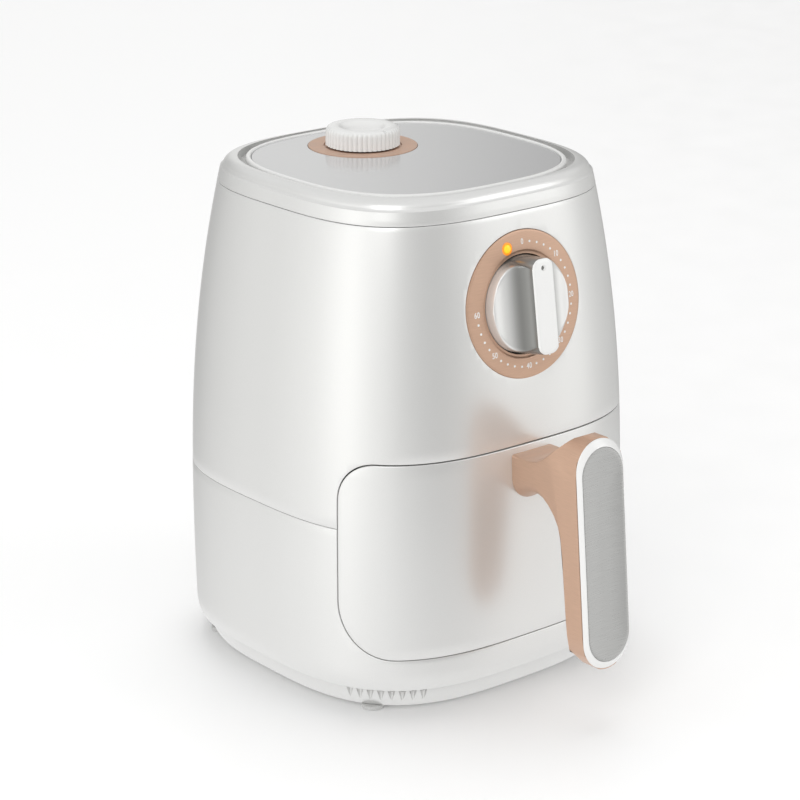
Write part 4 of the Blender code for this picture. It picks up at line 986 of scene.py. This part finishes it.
def make_frying_tub():
    """The deep pan: a rolled lip, rounded lower edges and a raised bead round its floor."""
    low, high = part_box("drawer_pan")[0][2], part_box("drawer_pan")[1][2]
    wall, inside = 1.2 * MM, 6.8 * MM
    profile = [(-40 * MM, low)]
    profile += fillet((-8 * MM, low + 8 * MM), 8 * MM, -90, 0, 7)
    lip = [(0, -2.7), (0.2, -2.15), (0.9, -1.95), (2.5, -2.0), (3.1, -1.75), (3.4, -1.1), (3.2, -0.45)]
    lip += [(2.6, -0.1), (1.6, 0), (0.4, 0), (-0.6, -0.2), (-1.05, -0.7), (-1.2, -1.5)]
    profile += [(out * MM, high + z * MM) for out, z in lip]
    floor = low + wall
    profile += fillet((-wall - inside, floor + inside), inside, 0, -90, 7)
    profile += [(-11 * MM, floor), (-12.3 * MM, floor + 0.6 * MM), (-14.3 * MM, floor + 0.6 * MM)]
    profile += [(-15.6 * MM, floor), (-40 * MM, floor)]
    tub = draw_out("frying_tub", [tub_ring(outset, z) for outset, z in profile])
    hand_over(tub, "drawer", "nonstick", "drawer_pan", smooth=38)


def make_crisper():
    """The crisper plate: a turned-down edge, rows of round holes and four feet."""
    low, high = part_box("crisper_tray")
    half, centre = (high[0] - low[0]) / 2, (low[1] + high[1]) / 2
    top, sheet = high[2], 1.5 * MM
    profile = [(half - 6 * MM, top - sheet), (half - 2.4 * MM, top - sheet), (half - sheet, top - 2.4 * MM)]
    profile += [(half - sheet, top - 6.2 * MM), (half - 0.7 * MM, top - 6.5 * MM), (half, top - 6.2 * MM)]
    profile += fillet((half - 2.2 * MM, top - 2.2 * MM), 2.2 * MM, 0, 90, 5) + [(half - 6 * MM, top)]
    rings = squared_rings(profile, CRISPER_POWER, count=192)
    rings[..., 1] += centre - AXIS_Y
    plate = draw_out("crisper_plate", rings)

    def tools(places, z, kind, **settings):
        pieces = [start("tool", kind, location=(x, y + centre, z), **settings) for x, y in places]
        for piece in pieces:
            settle(piece)
        return join(pieces, "tools")

    steps = [step * HOLE_PITCH for step in range(-5, 6)]
    inside = 61 * MM
    places = [(x, y) for x in steps for y in steps if (abs(x) ** 3 + abs(y) ** 3) ** (1 / 3) <= inside]
    places = [(x, y) for x, y in places if math.hypot(abs(x) - CRISPER_FOOT, abs(y) - CRISPER_FOOT) >= 7 * MM]
    cut(plate, tools(places, top, "cylinder", vertices=16, radius=HOLE_RADIUS, depth=8 * MM))
    corners = [(x, y) for x in (-CRISPER_FOOT, CRISPER_FOOT) for y in (-CRISPER_FOOT, CRISPER_FOOT)]
    tall = top - sheet / 2 - low[2]
    foot = {"vertices": 32, "radius1": 3.2 * MM, "radius2": 4.2 * MM, "depth": tall}
    cut(plate, tools(corners, low[2] + tall / 2, "cone", **foot), operation="UNION")
    hand_over(plate, "tray", "nonstick", "crisper_tray", smooth=38)


def handle_front(z):
    """The handle's front line, which leans forward going down."""
    return AXIS_Y + HANDLE_FRONT_Y - HANDLE_SLOPE * (HANDLE_FRONT_Z - z)


def stadium_rings(layers):
    """Upright stadium outlines from (inset, depth) pairs, depth counted back from the front line."""
    turn = np.concatenate([np.linspace(0, math.pi, 36), np.linspace(math.pi, 2 * math.pi, 36)])
    rings = []
    for inset, depth in layers:
        half = HANDLE_HALF - inset
        ends = HANDLE_HIGH_Z - inset - HANDLE_HALF, HANDLE_LOW_Z + inset + HANDLE_HALF
        z = np.repeat(ends, 36) + half * np.sin(turn)
        rings.append(np.stack([half * np.cos(turn), handle_front(z) + depth, z], axis=-1))
    return rings


# The handle's sections from the drawer to its face, each a line in mm: lower y and z, upper y and z
HANDLE_LINES = (
    (-100, 107, -100.2, 131.8),
    (-104, 109.3, -103.5, 131.7),
    (-108, 111.6, -107, 131.6),
    (-113, 113.8, -111, 131.7),
    (-118.5, 114.9, -114.5, 132.3),
    (-124, 114.2, -118, 133.4),
    (-129, 112, -121, 134.9),
    (-133.5, 108.6, -124, 136.7),
    (-137, 103.5, -127, 138.8),
    (-139.3, 97, -129.5, 140.8),
    (-140.8, 88, -131.5, 142.7),
    (-142.3, 73, -133.3, 144.6),
    (-144.4, 54, -135, 146.4),
    (-145.9, 40.5, -136.4, 148),
    (-146.9, 31.6, -137.7, 149.4),
    (-148.5, 31.5, -141, 151),
    (-157.9, 31.5, -147.3, 151),
)


def make_handle_grip():
    """One sweep from the drawer front, over the bracket, into the upright grip."""
    sections = []
    upper = 1.2 * MM
    round_low, round_high = HANDLE_LOW_Z + HANDLE_HALF, HANDLE_HIGH_Z - HANDLE_HALF
    for number, (low_y, low_z, high_y, high_z) in enumerate(HANDLE_LINES):
        half = (13.5 + 2.5 * min(number / 9, 1)) * MM
        lower = (12.5 + (1.2 - 12.5) * min(number / 7, 1)) * MM
        span = math.hypot(high_y - low_y, high_z - low_z) * MM
        outline = [(x, 0.0) for x in np.linspace(0, half - lower, 3)][:-1]
        outline += fillet((half - lower, lower), lower, -90, 0, 8)[:-1]
        outline += [(half, t) for t in np.linspace(lower, span - upper, 14)]
        outline += fillet((half - upper, span - upper), upper, 0, 90, 4)[1:]
        outline += [(x, span) for x in np.linspace(half - upper, 0, 4)][1:]
        section = []
        for x, t in outline + [(-x, t) for x, t in reversed(outline[1:-1])]:
            y = low_y + (high_y - low_y) * (t / span)
            z = (low_z + (high_z - low_z) * (t / span)) * MM
            beyond = max(round_low - z, z - round_high, 0)
            limit = math.sqrt(max(HANDLE_HALF**2 - beyond**2, (0.2 * MM) ** 2))
            section.append((max(-limit, min(limit, x)), AXIS_Y + y * MM, z))
        sections.append(section)
    sections = np.array(sections)
    root = sections[0]
    root[:, 1] = AXIS_Y - front_depth(root[:, 0], root[:, 2]) - 0.1 * MM
    grip = draw_out("handle_grip", sections)
    hand_over(grip, "drawer", "rose_gold", "handle_body", smooth=38)


def make_handle_face():
    """The white frame with its wide bevel, and the satin silver inlay within it."""
    trim = [(0.3, -0.25), (0.34, -0.36), (0.5, -0.6), (2.0, -2.36), (2.15, -2.46), (2.26, -2.4), (2.3, -2.2)]
    trim += [(2.3, -1.0), (2.3, -0.25)]
    frame_ring = draw_out("handle_frame", stadium_rings(in_mm(trim)), joined=True)
    hand_over(frame_ring, "drawer", "white_gloss", "handle_trim")
    inlay = [(2.36, -0.4), (2.36, -2.1), (2.42, -2.3), (2.6, -2.36)]
    for inset in (3.5, 4.8, 6.5, 8.5, 11, 13):
        inlay.append((inset, -2.36 + 0.62 * (1 - ((14 - inset) / 11.4) ** 2)))
    face = draw_out("handle_inlay", stadium_rings(in_mm(inlay)))
    hand_over(face, "drawer", "silver_satin", "handle_plate")


# ---- what stays of the frame, and the stage


def dress_frame():
    """Gives each CAD node that stays its finish."""
    slots = {entry["node"]: entry["material_slot"] for entry in frame["record"]["subparts"]}
    for name, obj in frame["nodes"].items():
        slot = slots.get(name)
        if slot is None:
            raise RuntimeError(f"{name} has no material slot")
        obj.data.materials.clear()
        obj.data.materials.append(finish_of(slot))


def add_light(kind, name, location, target, **settings):
    """A light turned towards its target."""
    bpy.ops.object.select_all(action="DESELECT")
    bpy.ops.object.light_add(type=kind, location=location)
    light = bpy.context.object
    light.name = name
    for setting, value in settings.items():
        setattr(light.data, setting, value)
    light.rotation_euler = (Vector(target) - Vector(location)).to_track_quat("-Z", "Y").to_euler()
    return light


# How bright the room is all round, from (degrees about the object, tone) pairs
ROOM_TONES = (
    (20, 0.48), (40, 0.36), (46, 0.42), (49, 0.65), (52, 0.85), (58, 0.85), (66, 0.6), (75, 0.38), (95, 0.38),
    (110, 0.53), (125, 0.64), (133, 0.85), (150, 0.97), (165, 1.27), (180, 1.48), (192, 1.25), (205, 1.02),
    (222, 0.85), (240, 0.55), (262, 0.36), (275, 0.31), (287, 0.42), (297, 0.65), (308, 1.0), (318, 1.3),
    (326, 1.08), (335, 0.66), (350, 0.55),
)


def make_room(look):
    """Soft panels and gaps between them, all round the object, under an even ceiling."""
    world = bpy.data.worlds.new("soft_room")
    bpy.context.scene.world = world
    world.use_nodes = True
    tree = world.node_tree
    place = add_node(tree, "TexCoord", "Generated")
    around = add_node(tree, "TexGradient", "Fac", {"Vector": place}, gradient_type="RADIAL")
    tones = tree.nodes.new("ShaderNodeValToRGB")
    tree.links.new(around, tones.inputs["Fac"])
    stops = sorted((((azimuth + 180) % 360) / 360, tone) for azimuth, tone in ROOM_TONES)
    first, last = stops[0], stops[-1]
    share = (1 - last[0]) / (1 - last[0] + first[0])
    seam = last[1] + (first[1] - last[1]) * share
    ramp = tones.color_ramp
    for index, (position, tone) in enumerate([(0.0, seam), *stops, (1.0, seam)]):
        stop = ramp.elements[index] if index < 2 else ramp.elements.new(position)
        stop.position = position
        stop.color = (tone, tone, tone * 0.985, 1)
    height = add_node(tree, "SeparateXYZ", "Z", {"Vector": place})
    tone = mix_colors(tree, ease(tree, height, 0.3, 0.6), tones.outputs["Color"], [look.ceiling_tone] * 3)
    tone = mix_colors(tree, ease(tree, height, -0.25, -0.5), tone, [look.floor_tone] * 3)
    seen = add_node(tree, "LightPath", "Is Camera Ray")
    tone = mix_colors(tree, seen, tone, BACKDROP)
    feed(tree, tree.nodes["Background"], {"Color": tone, "Strength": look.room_light})


def make_stage():
    """A pale floor, two soft side lights, an overhead light for the floor alone, and the camera."""
    look = bpy.context.scene.fryer_stage
    scene = bpy.context.scene
    scene.view_settings.view_transform = "Standard"
    floor = start("floor", "plane", size=12, location=(0, 0, 0))
    mat = new_finish("stage_floor", tuple(look.floor_color), 0.45)
    floor.data.materials.append(grain(mat, 40 * MM, bump=0.0, height=0.0, rough=(0.4, 0.5)))
    floor.visible_glossy = False

    make_room(look)
    middle = (0, 0, 0.13)
    key = {"shape": "RECTANGLE", "size": 1.2, "size_y": 1.6, "energy": look.key_power}
    fill = {"shape": "RECTANGLE", "size": 1.0, "size_y": 1.4, "energy": look.fill_power}
    add_light("AREA", "key", (-1.6, -1.2, 1.6), middle, **key)
    add_light("AREA", "fill", (1.6, -1.8, 1.2), middle, **fill)
    even = {"energy": look.overhead_light, "angle": math.radians(38)}
    overhead = add_light("SUN", "overhead", (0.45, 0.55, 2.3), (0, 0, 0), **even)
    lit = bpy.data.collections.new("floor_only")
    lit.objects.link(floor)
    overhead.light_linking.receiver_collection = lit

    bpy.ops.object.camera_add(location=CAMERA_PLACE)
    camera = bpy.context.object
    camera.name = "camera"
    camera.rotation_euler = (math.pi / 2 - math.radians(CAMERA_DOWN), 0, math.radians(CAMERA_TURN))
    camera.data.sensor_width = 36
    camera.data.lens = CAMERA_LENS
    camera.data.clip_end = 50
    scene.camera = camera


# ---- settings


class FryerBody(bpy.types.PropertyGroup):
    seam_gap: FloatProperty(
        name="Seam Gap", description="Gap between the moulded shells", default=0.2 * MM, unit="LENGTH"
    )
    drawer_gap: FloatProperty(
        name="Drawer Gap", description="Gap all round the drawer front", default=0.45 * MM, unit="LENGTH"
    )


class FryerDials(bpy.types.PropertyGroup):
    rib_count: IntProperty(name="Ribs", description="Finger ribs round the temperature dial", default=46)
    lamp_angle: FloatProperty(
        name="Lamp Angle", description="The ready lamp's place, in degrees from the top", default=-17
    )
    mark_step: FloatProperty(
        name="Mark Step", description="Degrees between ten-minute marks on the timer", default=44.6
    )
    numeral_height: FloatProperty(
        name="Numeral Height", description="Height of the timer's figures", default=2.9 * MM, unit="LENGTH"
    )


class FryerFinish(bpy.types.PropertyGroup):
    shell_color: FloatVectorProperty(
        name="Shell", description="Pearl white of the shells", default=(0.80, 0.80, 0.79), subtype="COLOR"
    )
    shell_roughness: FloatProperty(name="Shell Roughness", description="Gloss of the shells", default=0.3)
    shell_pearl: FloatProperty(name="Shell Pearl", description="Metallic share of the shells", default=0.55)
    copper_color: FloatVectorProperty(
        name="Copper",
        description="Rose gold of the handle and bezels",
        default=(0.62, 0.405, 0.29),
        subtype="COLOR",
    )
    lid_color: FloatVectorProperty(
        name="Lid", description="Silver of the lid's face", default=(0.62, 0.62, 0.63), subtype="COLOR"
    )


class FryerStage(bpy.types.PropertyGroup):
    floor_color: FloatVectorProperty(
        name="Floor", description="Pale floor", default=(0.96, 0.96, 0.96), subtype="COLOR"
    )
    room_light: FloatProperty(name="Room Light", description="Soft light from all round", default=1.0)
    ceiling_tone: FloatProperty(name="Ceiling", description="Brightness overhead", default=0.8)
    floor_tone: FloatProperty(name="Low Tone", description="Brightness of low reflections", default=0.95)
    key_power: FloatProperty(name="Key", description="Soft left light", default=12, subtype="POWER")
    fill_power: FloatProperty(name="Fill", description="Soft right light", default=5, subtype="POWER")
    overhead_light: FloatProperty(
        name="Overhead", description="Even light that falls on the floor alone", default=0.66
    )


# ---- operators


class FRYER_OT_shells(bpy.types.Operator):
    """Model the upper and lower housing skins"""

    bl_idname = "fryer.shells"
    bl_label = "Shells"

    def execute(self, context):
        make_shells()
        return {"FINISHED"}


class FRYER_OT_collar(bpy.types.Operator):
    """Model the rim and the groove round the lid"""

    bl_idname = "fryer.collar"
    bl_label = "Top Collar"

    def execute(self, context):
        make_collar()
        return {"FINISHED"}


class FRYER_OT_lid(bpy.types.Operator):
    """Model the lid's white lip and silver face"""

    bl_idname = "fryer.lid"
    bl_label = "Lid"

    def execute(self, context):
        make_lid()
        return {"FINISHED"}


class FRYER_OT_base(bpy.types.Operator):
    """Model the flared base with its air slots, and the feet"""

    bl_idname = "fryer.base"
    bl_label = "Base"

    def execute(self, context):
        make_base()
        make_feet()
        return {"FINISHED"}


class FRYER_OT_rear(bpy.types.Operator):
    """Model the vent panel and the cord gland"""

    bl_idname = "fryer.rear"
    bl_label = "Rear"

    def execute(self, context):
        make_rear()
        return {"FINISHED"}


class FRYER_OT_temperature(bpy.types.Operator):
    """Model the bezel and the ribbed dial on the lid"""

    bl_idname = "fryer.temperature"
    bl_label = "Temperature Dial"

    def execute(self, context):
        make_temperature_bezel()
        make_temperature_dial()
        return {"FINISHED"}


class FRYER_OT_timer(bpy.types.Operator):
    """Model the timer's bezel, printed minutes, lamp and grip"""

    bl_idname = "fryer.timer"
    bl_label = "Timer"

    def execute(self, context):
        make_timer_bezel()
        make_timer_marks()
        make_lamp()
        make_timer_grip()
        return {"FINISHED"}


class FRYER_OT_drawer(bpy.types.Operator):
    """Model the drawer's curved front"""

    bl_idname = "fryer.drawer"
    bl_label = "Drawer Front"

    def execute(self, context):
        make_drawer_face()
        return {"FINISHED"}


class FRYER_OT_tub(bpy.types.Operator):
    """Model the deep pan behind the drawer front"""

    bl_idname = "fryer.tub"
    bl_label = "Frying Tub"

    def execute(self, context):
        make_frying_tub()
        return {"FINISHED"}


class FRYER_OT_crisper(bpy.types.Operator):
    """Model the plate that lies in the tub"""

    bl_idname = "fryer.crisper"
    bl_label = "Crisper Plate"

    def execute(self, context):
        make_crisper()
        return {"FINISHED"}


class FRYER_OT_handle(bpy.types.Operator):
    """Model the handle's grip, frame and inlay"""

    bl_idname = "fryer.handle"
    bl_label = "Handle"

    def execute(self, context):
        make_handle_grip()
        make_handle_face()
        return {"FINISHED"}


class FRYER_OT_frame_finishes(bpy.types.Operator):
    """Give the works inside their finishes"""

    bl_idname = "fryer.frame_finishes"
    bl_label = "Inner Parts"

    def execute(self, context):
        dress_frame()
        return {"FINISHED"}


class FRYER_OT_stage(bpy.types.Operator):
    """Set up the floor, the soft light and the camera"""

    bl_idname = "fryer.stage"
    bl_label = "Stage"

    def execute(self, context):
        make_stage()
        return {"FINISHED"}


OPERATORS = (
    FRYER_OT_shells,
    FRYER_OT_collar,
    FRYER_OT_lid,
    FRYER_OT_base,
    FRYER_OT_rear,
    FRYER_OT_temperature,
    FRYER_OT_timer,
    FRYER_OT_drawer,
    FRYER_OT_tub,
    FRYER_OT_crisper,
    FRYER_OT_handle,
    FRYER_OT_frame_finishes,
    FRYER_OT_stage,
)


class FRYER_PT_sidebar(bpy.types.Panel):
    """Lists the air fryer's pieces and settings"""

    bl_label = "Air Fryer"
    bl_idname = "FRYER_PT_sidebar"
    bl_space_type = "VIEW_3D"
    bl_region_type = "UI"
    bl_category = "Air Fryer"

    def draw(self, context):
        for made in OPERATORS:
            self.layout.operator(made.bl_idname)
        for group in SETTINGS:
            settings = getattr(context.scene, group)
            for name in settings.__annotations__:
                self.layout.prop(settings, name)


SETTINGS = {
    "fryer_body": FryerBody,
    "fryer_dials": FryerDials,
    "fryer_finish": FryerFinish,
    "fryer_stage": FryerStage,
}


def register():
    for cls in (*SETTINGS.values(), *OPERATORS, FRYER_PT_sidebar):
        bpy.utils.register_class(cls)
    for name, cls in SETTINGS.items():
        setattr(bpy.types.Scene, name, PointerProperty(type=cls))


def unregister():
    for name in SETTINGS:
        delattr(bpy.types.Scene, name)
    for cls in (FRYER_PT_sidebar, *reversed(OPERATORS), *SETTINGS.values()):
        bpy.utils.unregister_class(cls)


def main():
    register()
    for made in OPERATORS:
        getattr(bpy.ops.fryer, made.bl_idname.removeprefix("fryer."))()


if __name__ == "__main__":
    main()
